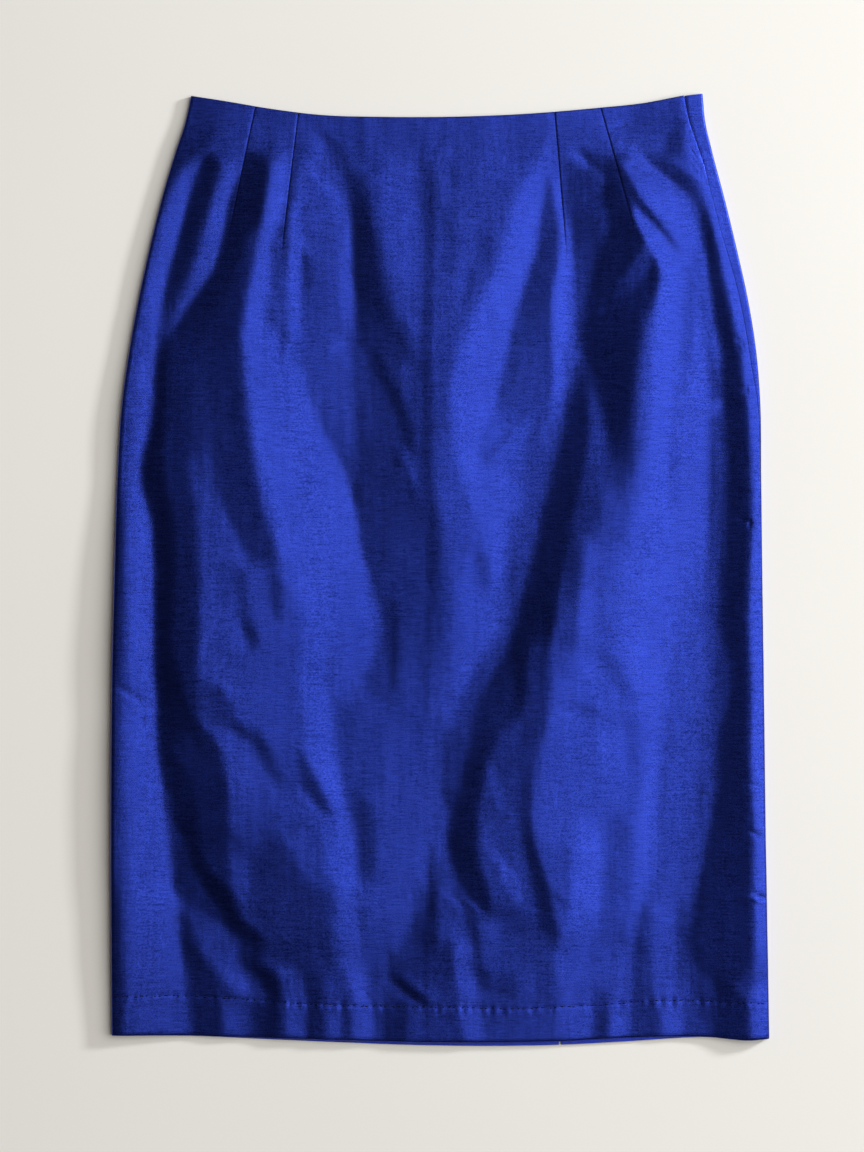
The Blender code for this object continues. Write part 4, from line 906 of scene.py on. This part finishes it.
def front_grid(shares, depth, columns_scale=1.0):
    """Points of the front, or of a layer at a depth inside it, from the left seam to the right one."""
    columns = []

    def settle_y(find_x, start_x):
        y = mix(hem_y(start_x), waist_y(start_x), shares)
        for _ in range(PASSES):
            x = find_x(y)
            y = mix(hem_y(x), waist_y(x), shares)
        return x, y

    def side_column(which, inset_of):
        start_x = -HALF_WIDTH if which == "left" else HALF_WIDTH
        y = settle_y(lambda y: side_x(which, inset_of(y), y), start_x)[1]
        x, z = place(which, inset_of(y), y, depth)
        columns.append((x, y, z))

    def top_column(find_x):
        x, y = settle_y(find_x, 0.0)
        columns.append((x, y, front_top(x, y) - depth))

    def columns_between(last_x, next_x, count):
        count = int(count * columns_scale)
        for step in range(1, count):
            top_column(lambda y: mix(last_x(y), next_x(y), step / count))

    for inset in [-QUARTER - UNDER_LAP, *np.linspace(-QUARTER, QUARTER, LEFT_FOLD_COLUMNS)]:
        side_column("left", lambda y: inset + 0 * y)
    last_x = lambda y: side_x("left", QUARTER + 0 * y, y)
    for line in LINES:
        offsets = DART_OFFSETS if line.dart else (0.0,)
        columns_between(last_x, lambda y: line_x(line, y) + offsets[0], line.columns_before)
        for offset in offsets:
            top_column(lambda y: line_x(line, y) + offset)
        last_x = lambda y, line=line, offset=offsets[-1]: line_x(line, y) + offset
    columns_between(last_x, lambda y: side_x("right", shoulder_inset(y), y), SHOULDER_COLUMNS)
    for part in range(SEAM_COLUMNS):
        share = part / (SEAM_COLUMNS - 1)
        side_column("right", lambda y: mix(shoulder_inset(y), seam_inset(y) + SEAM_GAP / 2, share))
    return join_columns(columns)


def back_grid(shares, depth):
    """Points of the back, from the right seam round the right fold and under to the left seam."""
    columns = []

    def round_fold(part):
        y = mix(hem_y(HALF_WIDTH), waist_y(HALF_WAIST), shares)
        for _ in range(PASSES):
            first = np.interp(seam_inset(y) - SEAM_GAP / 2, FOLD_INSETS, FOLD_STEPS)
            inset = np.interp(mix(first, FOLD_STEPS[0], part), FOLD_STEPS, FOLD_INSETS)
            x = side_x("right", inset, y)
            y = mix(hem_y(x), waist_y(x), shares)
        x, z = place("right", inset, y, depth)
        columns.append((x, y, z))

    def flat(part):
        y = mix(back_hem_y(0.0), waist_y(0.0), shares)
        for _ in range(PASSES):
            right = side_x("right", FOLD_END + 0 * y, y)
            left = side_x("left", -QUARTER - UNDER_LAP - SEAM_GAP + 0 * y, y)
            x = mix(right, left, part)
            y = mix(back_hem_y(x), waist_y(x), shares) - BACK_DROP * math.sin(math.pi * part) * shares
        columns.append((x, y, UNDERSIDE + depth + back_relief(x, y)))

    for step in range(RIGHT_FOLD_COLUMNS):
        round_fold(step / RIGHT_FOLD_COLUMNS)
    for step in range(BACK_COLUMNS + 1):
        flat(step / BACK_COLUMNS)
    return join_columns(columns)


def detailed_shares(count):
    """Shares of the length for a panel's rows, closer together where small details are."""
    fine = np.linspace(0.0, 1.0, FINE_ROWS)
    y = mix(DETAILS_FROM, DETAILS_TO, fine)
    density = 1.0 + sum(DETAIL_DENSITY * bell((y - detail.y) / detail.reach) for detail in ROW_DETAILS)
    total = np.concatenate([[0.0], np.cumsum((density[1:] + density[:-1]) / 2)])
    return np.interp(np.linspace(0.0, total[-1], count), total, fine)


def turned_edges(grid):
    """A panel with the fold of its hem before its first row and its waist's turned-in edge after the last."""
    below = [grid[0] + [0, turn.y, turn.z] for turn in HEM_TURN]
    above = [grid[-1] + [0, turn.y, turn.z] for turn in WAIST_TURN]
    grid = np.concatenate([np.stack(below), grid, np.stack(above)], axis=0)
    grid[..., 2] = np.maximum(grid[..., 2], GROUND)
    return grid


def cut_slit(grid):
    """Moves two neighbouring columns to the slit's edges, and returns a mask of the faces between them."""
    column = int(np.sum(grid[0, :, 0] > SLIT_X)) - 1
    y = grid[:, column, 1]
    near = ease((SLIT_TOP + SLIT_DRAW - y) / SLIT_DRAW)
    gape = SLIT_WIDTH * np.clip((SLIT_TOP - y) / SLIT_OPENS, 0.0, 1.0)
    grid[:, column, 0] = mix(grid[:, column, 0], SLIT_X + gape / 2 + SLIT_APART, near)
    grid[:, column + 1, 0] = mix(grid[:, column + 1, 0], SLIT_X - gape / 2, near)
    mask = np.zeros((grid.shape[0] - 1, grid.shape[1] - 1), dtype=bool)
    mask[:, column] = y[:-1] < SLIT_TOP
    return mask


# ---------------------------------------------------------------- meshes


def new_object(name, mesh, material):
    mesh.shade_smooth()
    mesh.materials.append(material)
    piece = bpy.data.objects.new(name, mesh)
    bpy.context.scene.collection.objects.link(piece)
    return piece


def grid_quads(rows, columns):
    """The faces between rows by columns of points."""
    at = np.arange(rows * columns).reshape(rows, columns)
    return np.stack([at[:-1, :-1], at[:-1, 1:], at[1:, 1:], at[1:, :-1]], axis=-1)


def sheet_mesh(name, grid, material, flip=False, open_at=None):
    """A sheet of faces over rows by columns of points, open where a mask says."""
    quads = grid_quads(*grid.shape[:2])
    quads = quads.reshape(-1, 4) if open_at is None else quads[~open_at]
    if flip:
        quads = quads[:, ::-1]
    mesh = bpy.data.meshes.new(name)
    mesh.vertices.add(grid.shape[0] * grid.shape[1])
    mesh.vertices.foreach_set("co", (grid.reshape(-1) * MM).astype(np.float32))
    mesh.loops.add(quads.size)
    mesh.loops.foreach_set("vertex_index", quads.reshape(-1).astype(np.int32))
    mesh.polygons.add(len(quads))
    mesh.polygons.foreach_set("loop_start", np.arange(0, quads.size, 4, dtype=np.int32))
    mesh.update(calc_edges=True)
    mesh.validate()
    return new_object(name, mesh, material)


def solid_of(name, parts, material):
    """One piece from several sets of vertices and faces."""
    vertices, faces = [], []
    for points, loops in parts:
        start = len(vertices)
        vertices.extend((np.asarray(points) * MM).tolist())
        faces.extend(tuple(start + index for index in loop) for loop in loops)
    mesh = bpy.data.meshes.new(name)
    mesh.from_pydata(vertices, [], faces)
    mesh.update()
    return new_object(name, mesh, material)


def thick_sheet(grid, thickness):
    """Vertices and faces of a closed sheet that has a thickness below rows by columns of points."""
    rows, columns = grid.shape[:2]
    at = np.arange(rows * columns).reshape(rows, columns)
    top = grid_quads(rows, columns).reshape(-1, 4)
    under = top[:, ::-1] + rows * columns
    rim = np.concatenate([at[0], at[1:, -1], at[-1, -2::-1], at[-2:0:-1, 0]])
    after = np.roll(rim, -1)
    wall = np.stack([rim, after, after + rows * columns, rim + rows * columns], axis=-1)
    points = np.concatenate([grid.reshape(-1, 3), grid.reshape(-1, 3) - [0, 0, thickness]])
    return points, [tuple(face) for face in np.concatenate([top, under, wall[:, ::-1]])]


def ring_faces(rings, around):
    """Faces of a closed solid through rings of as many points each."""
    faces = []
    for ring in range(rings - 1):
        for step in range(around):
            near, far = ring * around + step, ring * around + (step + 1) % around
            faces.append((near, far, far + around, near + around))
    faces.append(tuple(range(around))[::-1])
    faces.append(tuple((rings - 1) * around + step for step in range(around)))
    return faces


def tube(points, radius, around):
    """Vertices and faces of a round thread along points."""
    along = np.gradient(points, axis=0)
    along /= np.linalg.norm(along, axis=1)[:, None]
    side = np.cross(along, [0.0, 0.0, 1.0])
    side /= np.linalg.norm(side, axis=1)[:, None]
    rise = np.cross(side, along)
    turn = np.arange(around) * 2 * math.pi / around
    out = np.cos(turn)[:, None] * side[:, None] + np.sin(turn)[:, None] * rise[:, None]
    rings = points[:, None] + radius * out
    return rings.reshape(-1, 3), ring_faces(len(points), around)


def plate(outline, low, high):
    """Vertices and faces of a flat plate with softened edges."""
    outline = np.asarray(outline, dtype=float)
    middle = outline.mean(axis=0)
    away = outline - middle
    inner = middle + away * (1 - PLATE_BEVEL / np.linalg.norm(away, axis=1))[:, None]
    rise = PLATE_BEVEL_SHARE * (high - low)
    layers = ((inner, low), (outline, low + rise), (outline, high - rise), (inner, high))
    points = np.concatenate([np.column_stack([ring, np.full(len(ring), z)]) for ring, z in layers])
    return points, ring_faces(len(layers), len(outline))


def rounded(centre, width, length, corner, taper=0.0):
    """Outline of a rounded oblong, narrower at its lower end by a share."""
    points = []
    for number, (sx, sy) in enumerate(((1, 1), (-1, 1), (-1, -1), (1, -1))):
        half = width / 2 * (1 - (taper if sy < 0 else 0.0))
        for step in range(CORNER_STEPS + 1):
            angle = math.pi / 2 * (number + step / CORNER_STEPS)
            x = centre[0] + sx * (half - corner) + corner * math.cos(angle)
            y = centre[1] + sy * (length / 2 - corner) + corner * math.sin(angle)
            points.append((x, y))
    return points


# ---------------------------------------------------------------- materials


def put(tree, socket, value):
    """Sets a socket to a constant, or links another node's output to it."""
    if isinstance(value, bpy.types.NodeSocket):
        tree.links.new(value, socket)
    else:
        socket.default_value = value


def node(tree, kind, sockets, **settings):
    """A new node of a kind, with what goes into its sockets and its other settings."""
    made = tree.nodes.new(kind)
    for key, value in settings.items():
        setattr(made, key, value)
    for key, value in sockets.items():
        put(tree, made.inputs[key], value)
    return made


def new_material(name):
    """A material, its tree, its shader and the place on the object, in metres."""
    material = bpy.data.materials.new(name)
    material.use_nodes = True
    tree = material.node_tree
    place_out = node(tree, "ShaderNodeTexCoord", {}).outputs["Object"]
    return material, tree, tree.nodes["Principled BSDF"], place_out


def noise(tree, place_out, scale, detail=2.0, rough=0.5, warped=0.0):
    """Noise whose grains are as long as the inverse of the scale on each axis."""
    mapping = node(tree, "ShaderNodeMapping", {"Vector": place_out, "Scale": scale})
    sockets = {"Scale": 1.0, "Detail": detail, "Roughness": rough, "Distortion": warped}
    return node(tree, "ShaderNodeTexNoise", {"Vector": mapping.outputs["Vector"], **sockets}).outputs["Fac"]


def ramp(tree, source, stops):
    """Steps a value: it has each stop's value at the stop's position."""
    made = node(tree, "ShaderNodeValToRGB", {"Fac": source})
    band = made.color_ramp
    while len(band.elements) < len(stops):
        band.elements.new(0.5)
    for element, (position, value) in zip(band.elements, stops):
        element.position = position
        element.color = (value, value, value, 1.0)
    return made.outputs["Color"]


def maths(tree, operation, one, two):
    return node(tree, "ShaderNodeMath", {0: one, 1: two}, operation=operation).outputs["Value"]


def add_shares(tree, total, shares):
    """A total with shares of other values added."""
    for source, share in shares:
        total = maths(tree, "ADD", total, maths(tree, "MULTIPLY", source, share))
    return total


def between(tree, dark, pale, share):
    """A colour between two others."""
    sockets = {"A": (*dark, 1.0), "B": (*pale, 1.0), "Factor": share}
    return node(tree, "ShaderNodeMix", sockets, data_type="RGBA").outputs["Result"]


def bumps(tree, layers):
    """The normal after several reliefs, each with its distance in metres and its strength."""
    normal = None
    for height, distance, strength in layers:
        sockets = {"Height": height, "Distance": distance, "Strength": strength}
        if normal is not None:
            sockets["Normal"] = normal
        normal = node(tree, "ShaderNodeBump", sockets).outputs["Normal"]
    return normal


def finish_shader(tree, shader, colour, normal, roughness, metallic):
    sockets = {"Base Color": colour, "Normal": normal, "Roughness": roughness, "Metallic": metallic}
    for key, value in sockets.items():
        put(tree, shader.inputs[key], value)


def silk(name, colour, deep, roughness=0.36, metallic=0.97, crease=1.0):
    """Slubbed silk: weft, speckle, slubs and dashes make its colour uneven, and give it a fine relief."""
    material, tree, shader, place_out = new_material(name)
    weft = noise(tree, place_out, (80.0, 1250.0, 200.0), 3.0, 0.6)
    warp = noise(tree, place_out, (1400.0, 40.0, 200.0))
    speckle = noise(tree, place_out, (1700.0, 2000.0, 200.0), 1.0, 0.6)
    thick = noise(tree, place_out, (62.0, 900.0, 200.0), 1.0)
    slubs = ramp(tree, thick, [(0.0, 1.0), (0.21, 1.0), (0.27, 0.0), (0.74, 0.0), (0.80, 1.0)])
    dark_slub = ramp(tree, thick, [(0.0, 1.0), (0.18, 1.0), (0.26, 0.0)])
    pale_slub = ramp(tree, thick, [(0.0, 0.0), (0.75, 0.0), (0.83, 1.0)])
    short = noise(tree, place_out, (250.0, 1450.0, 210.0), 1.0)
    dashes = ramp(tree, short, [(0.0, 1.0), (0.30, 1.0), (0.37, 0.0)])
    wide = noise(tree, place_out, (26.0, 38.0, 30.0), 1.0)
    patches = ramp(tree, wide, [(0.0, 0.2), (0.48, 0.3), (0.6, 1.0)])
    dashes = maths(tree, "MULTIPLY", dashes, patches)
    cloudy = noise(tree, place_out, (24.0, 16.0, 60.0), 3.0, 0.55, 0.6)
    streaks = noise(tree, place_out, (150.0, 17.0, 60.0))
    creases = noise(tree, place_out, (62.0, 80.0, 60.0), 3.0, 0.6, 0.9)

    share = maths(tree, "MULTIPLY", weft, 1.9)
    share = add_shares(tree, share, ((cloudy, 0.4), (speckle, 3.8)))
    share = maths(tree, "SUBTRACT", share, MEAN_GRAIN)
    share = add_shares(tree, share, ((dashes, -0.75), (pale_slub, 0.35), (dark_slub, -0.6)))
    share = maths(tree, "MAXIMUM", share, 0.0)
    rough = maths(tree, "ADD", maths(tree, "MULTIPLY", weft, WEFT_ROUGH), roughness - WEFT_ROUGH / 2)
    reliefs = (
        (creases, 0.0006, 0.24 * crease),
        (streaks, 0.0006, 0.22 * crease),
        (cloudy, 0.0020, 0.26 * crease),
        (weft, 0.00006, 0.4),
        (speckle, 0.00010, 0.4),
        (warp, 0.00003, 0.2),
        (slubs, 0.00010, 0.4),
    )
    finish_shader(tree, shader, between(tree, deep, colour, share), bumps(tree, reliefs), rough, metallic)
    return material


def plain(name, colour, roughness, metallic=0.0, grain=(900.0, 900.0, 900.0), relief=0.0001):
    """A plain surface with a fine grain."""
    material, tree, shader, place_out = new_material(name)
    fine = noise(tree, place_out, grain)
    dark = [DARK_GRAIN * value for value in colour]
    pale = [min(PALE_GRAIN * value, 1.0) for value in colour]
    normal = bumps(tree, ((fine, relief, 0.5),))
    finish_shader(tree, shader, between(tree, dark, pale, fine), normal, roughness, metallic)
    return material


# ---------------------------------------------------------------- the panels and their hems


def make_front(material):
    grid = turned_edges(front_grid(detailed_shares(FRONT_ROWS), 0.0))
    return sheet_mesh("front_cloth", grid, material)


def make_back(material):
    low = np.linspace(0.0, BACK_LOW_SHARE, BACK_LOW_ROWS)[:-1]
    grid = back_grid(np.concatenate([low, np.linspace(BACK_LOW_SHARE, 1.0, BACK_ROWS)]), 0.0)
    return sheet_mesh("back_cloth", grid, material, open_at=cut_slit(grid))


def make_hems(material):
    """The turned-up hems of the front and the back, which lie inside the panels."""
    length = float(waist_y(0.0) - hem_y(0.0))
    shares = np.linspace(0.0, HEM_DEPTH / length, HEM_ROWS)
    grid = front_grid(shares, HEM_INSIDE, columns_scale=0.5)
    front = sheet_mesh("front_hem_cloth", grid, material, flip=True)
    grid = back_grid(shares, HEM_INSIDE)
    back = sheet_mesh("back_hem_cloth", grid, material, flip=True, open_at=cut_slit(grid))
    return front, back


def hem_stitch(number):
    """One stitch of the hand-sewn hem: a short arch of thread whose length, place and slant vary."""
    off_x, off_y, slant, longer = (size * math.sin(rate * number) for size, rate in STITCH_VARIES)
    x = STITCHES_FROM + STITCH_SPACING * number + off_x
    y = float(stitch_y(x)) + off_y
    long = STITCH_LENGTH + longer
    share = np.linspace(-0.5, 0.5, STITCH_POINTS)
    xs, ys = x + share * long, y + share * slant * long
    zs = front_top(xs, ys) + STITCH_RISE - STITCH_ARCH * share**2
    return tube(np.column_stack([xs, ys, zs]), THREAD_RADIUS, THREAD_SIDES)


# ---------------------------------------------------------------- the zip, inside the right side seam


def box_mm(node_name):
    """The low and high corners of a CAD node's box."""
    return (np.array(corner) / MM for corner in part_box(node_name))


def under_front(x, y):
    """Height of the front over the zip. Past the inner end of the side fold it is the height there."""
    return front_top(np.minimum(x, sides(y)[1] - SIDE_REACH), y)


def zip_tape(y, start, end):
    """One half of the zip's tape, from the coil out to its woven edge."""
    seam_x = side_x("right", seam_inset(y), y)
    end = np.minimum(end, sides(y)[1] - SIDE_REACH - TAPE_CLEAR - seam_x)
    columns = []
    for part in np.linspace(0.0, 1.0, TAPE_COLUMNS):
        x = seam_x + mix(start, end, part)
        bead = TAPE_BEAD * math.exp(-(((part - TAPE_BEAD_AT) / TAPE_BEAD_WIDTH) ** 2))
        columns.append((x, y, under_front(x, y) - TAPE_DEPTH - bead))
    return thick_sheet(join_columns(columns), TAPE_THICK)


def zip_coil_half(y, side):
    """One half of the coil, as a spiral beside the seam whose turns lie between the other half's."""
    turn = 2 * math.pi * y / COIL_PITCH + (0.0 if side < 0 else math.pi)
    x = side_x("right", seam_inset(y), y)
    z = under_front(x, y) - COIL_DEPTH - COIL_RISE * np.sin(turn)
    x = x + side * (COIL_OFF - COIL_REACH * np.cos(turn))
    return tube(np.column_stack([x, y, z]), COIL_RADIUS, COIL_SIDES)


def make_zip(tape_material, metal):
    """The zip's tape, its coil, and its slider with the tab."""
    low, high = box_mm("side_zip")
    slider_low, slider_high = box_mm("zip_slider")
    x, y, z = (slider_low + slider_high) / 2
    tape_y = np.linspace(low[1] + TAPE_END, high[1] - TAPE_END, TAPE_ROWS)
    tape = solid_of("zip_cloth", [zip_tape(tape_y, start, end) for start, end in TAPE_HALVES], tape_material)
    coil_y = np.linspace(low[1] + COIL_END, y - COIL_END, COIL_POINTS)
    coil = solid_of("zip_coil", [zip_coil_half(coil_y, side) for side in (-1.0, 1.0)], metal)
    plates = []
    for part in SLIDER_PLATES:
        outline = rounded((x, slider_high[1] - part.below_top), *part.sizes)
        plates.append(plate(outline, z + part.low, z + part.high))
    tab_y = (slider_low[1] + slider_high[1] - TAB_BELOW_TOP) / 2 + TAB_OVER
    plates.append(plate(rounded((x, tab_y), *TAB.sizes), z + TAB.low, z + TAB.high))
    return tape, coil, solid_of("zip_pull", plates, metal)


# ---------------------------------------------------------------- the skirt, put together

front_cloth = make_front(silk("silk_front", ROYAL, DEEP))
back_cloth = make_back(silk("silk_back", ROYAL, DEEP, crease=0.6))
inner_silk = silk("silk_inside", INNER_PALE, INNER_DARK, roughness=0.5, metallic=0.8)
front_hem_cloth, back_hem_cloth = make_hems(inner_silk)
stitches = [hem_stitch(number) for number in range(STITCHES)]
# The stitches are near black: the thread's own dark blue with painted shade added.
hem_stitches = solid_of("hem_stitches", stitches, plain("thread", THREAD_WITH_PAINTED_SHADE, 0.7, metallic=0.9))
tape_cloth = plain("zip_tape_cloth", TAPE, 0.85, grain=(300.0, 2200.0, 300.0), relief=0.0002)
zip_cloth, zip_coil, zip_pull = make_zip(tape_cloth, plain("zip_enamel", ENAMEL, 0.35))

for piece, cad_node, slot in (
    (front_cloth, "front_panel", "silk"),
    (back_cloth, "back_panel", "silk"),
    (front_hem_cloth, "front_hem", "silk"),
    (back_hem_cloth, "back_hem", "silk"),
    (hem_stitches, None, "silk"),
    (zip_cloth, "side_zip", "zip_tape"),
    (zip_coil, "side_zip", "zip_tape"),
    (zip_pull, "zip_slider", "zip_metal"),
):
    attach(piece, "root")
    if cad_node:
        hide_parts(cad_node)

# ---------------------------------------------------------------- stage, light and camera


def make_floor():
    material, tree, shader, place_out = new_material("floor")
    tone = between(tree, FLOOR_DARK, FLOOR_PALE, noise(tree, place_out, (3.0, 3.0, 3.0), 3.0))
    put(tree, shader.inputs["Base Color"], tone)
    shader.inputs["Roughness"].default_value = 0.9
    shader.inputs["Specular IOR Level"].default_value = 0.15
    bpy.ops.mesh.primitive_plane_add(size=FLOOR_SIZE, location=(0, 0, FLOOR_Z))
    floor = bpy.context.object
    floor.name = "floor"
    floor.data.materials.append(material)
    return floor


def area_light(name, place_at, width, height, power, colour):
    """A rectangular light that faces the middle of the skirt."""
    data = bpy.data.lights.new(name, "AREA")
    data.shape = "RECTANGLE"
    data.size, data.size_y = width, height
    data.energy = power
    data.color = colour
    light = bpy.data.objects.new(name, data)
    light.location = place_at
    light.rotation_euler = (-Vector(place_at)).to_track_quat("-Z", "Y").to_euler()
    bpy.context.scene.collection.objects.link(light)


def make_world():
    world = bpy.data.worlds.new("studio")
    bpy.context.scene.world = world
    world.use_nodes = True
    background = world.node_tree.nodes["Background"]
    background.inputs["Color"].default_value = (*WORLD_COLOUR, 1.0)
    background.inputs["Strength"].default_value = WORLD_STRENGTH


def make_camera():
    """A camera that looks straight down, with the photo's frame at the skirt's mean height."""
    data = bpy.data.cameras.new("camera")
    data.sensor_width = SENSOR
    data.lens = SENSOR * (CAMERA_HEIGHT - SKIRT_LEVEL) / FRAME_HEIGHT
    data.clip_end = 50.0
    camera = bpy.data.objects.new("camera", data)
    camera.location = (CAMERA_X * MM, CAMERA_Y * MM, CAMERA_HEIGHT * MM)
    bpy.context.scene.collection.objects.link(camera)
    bpy.context.scene.camera = camera
    bpy.context.scene.view_settings.view_transform = "Standard"


make_floor()
for light in LIGHTS:
    area_light(*light)
make_world()
make_camera()
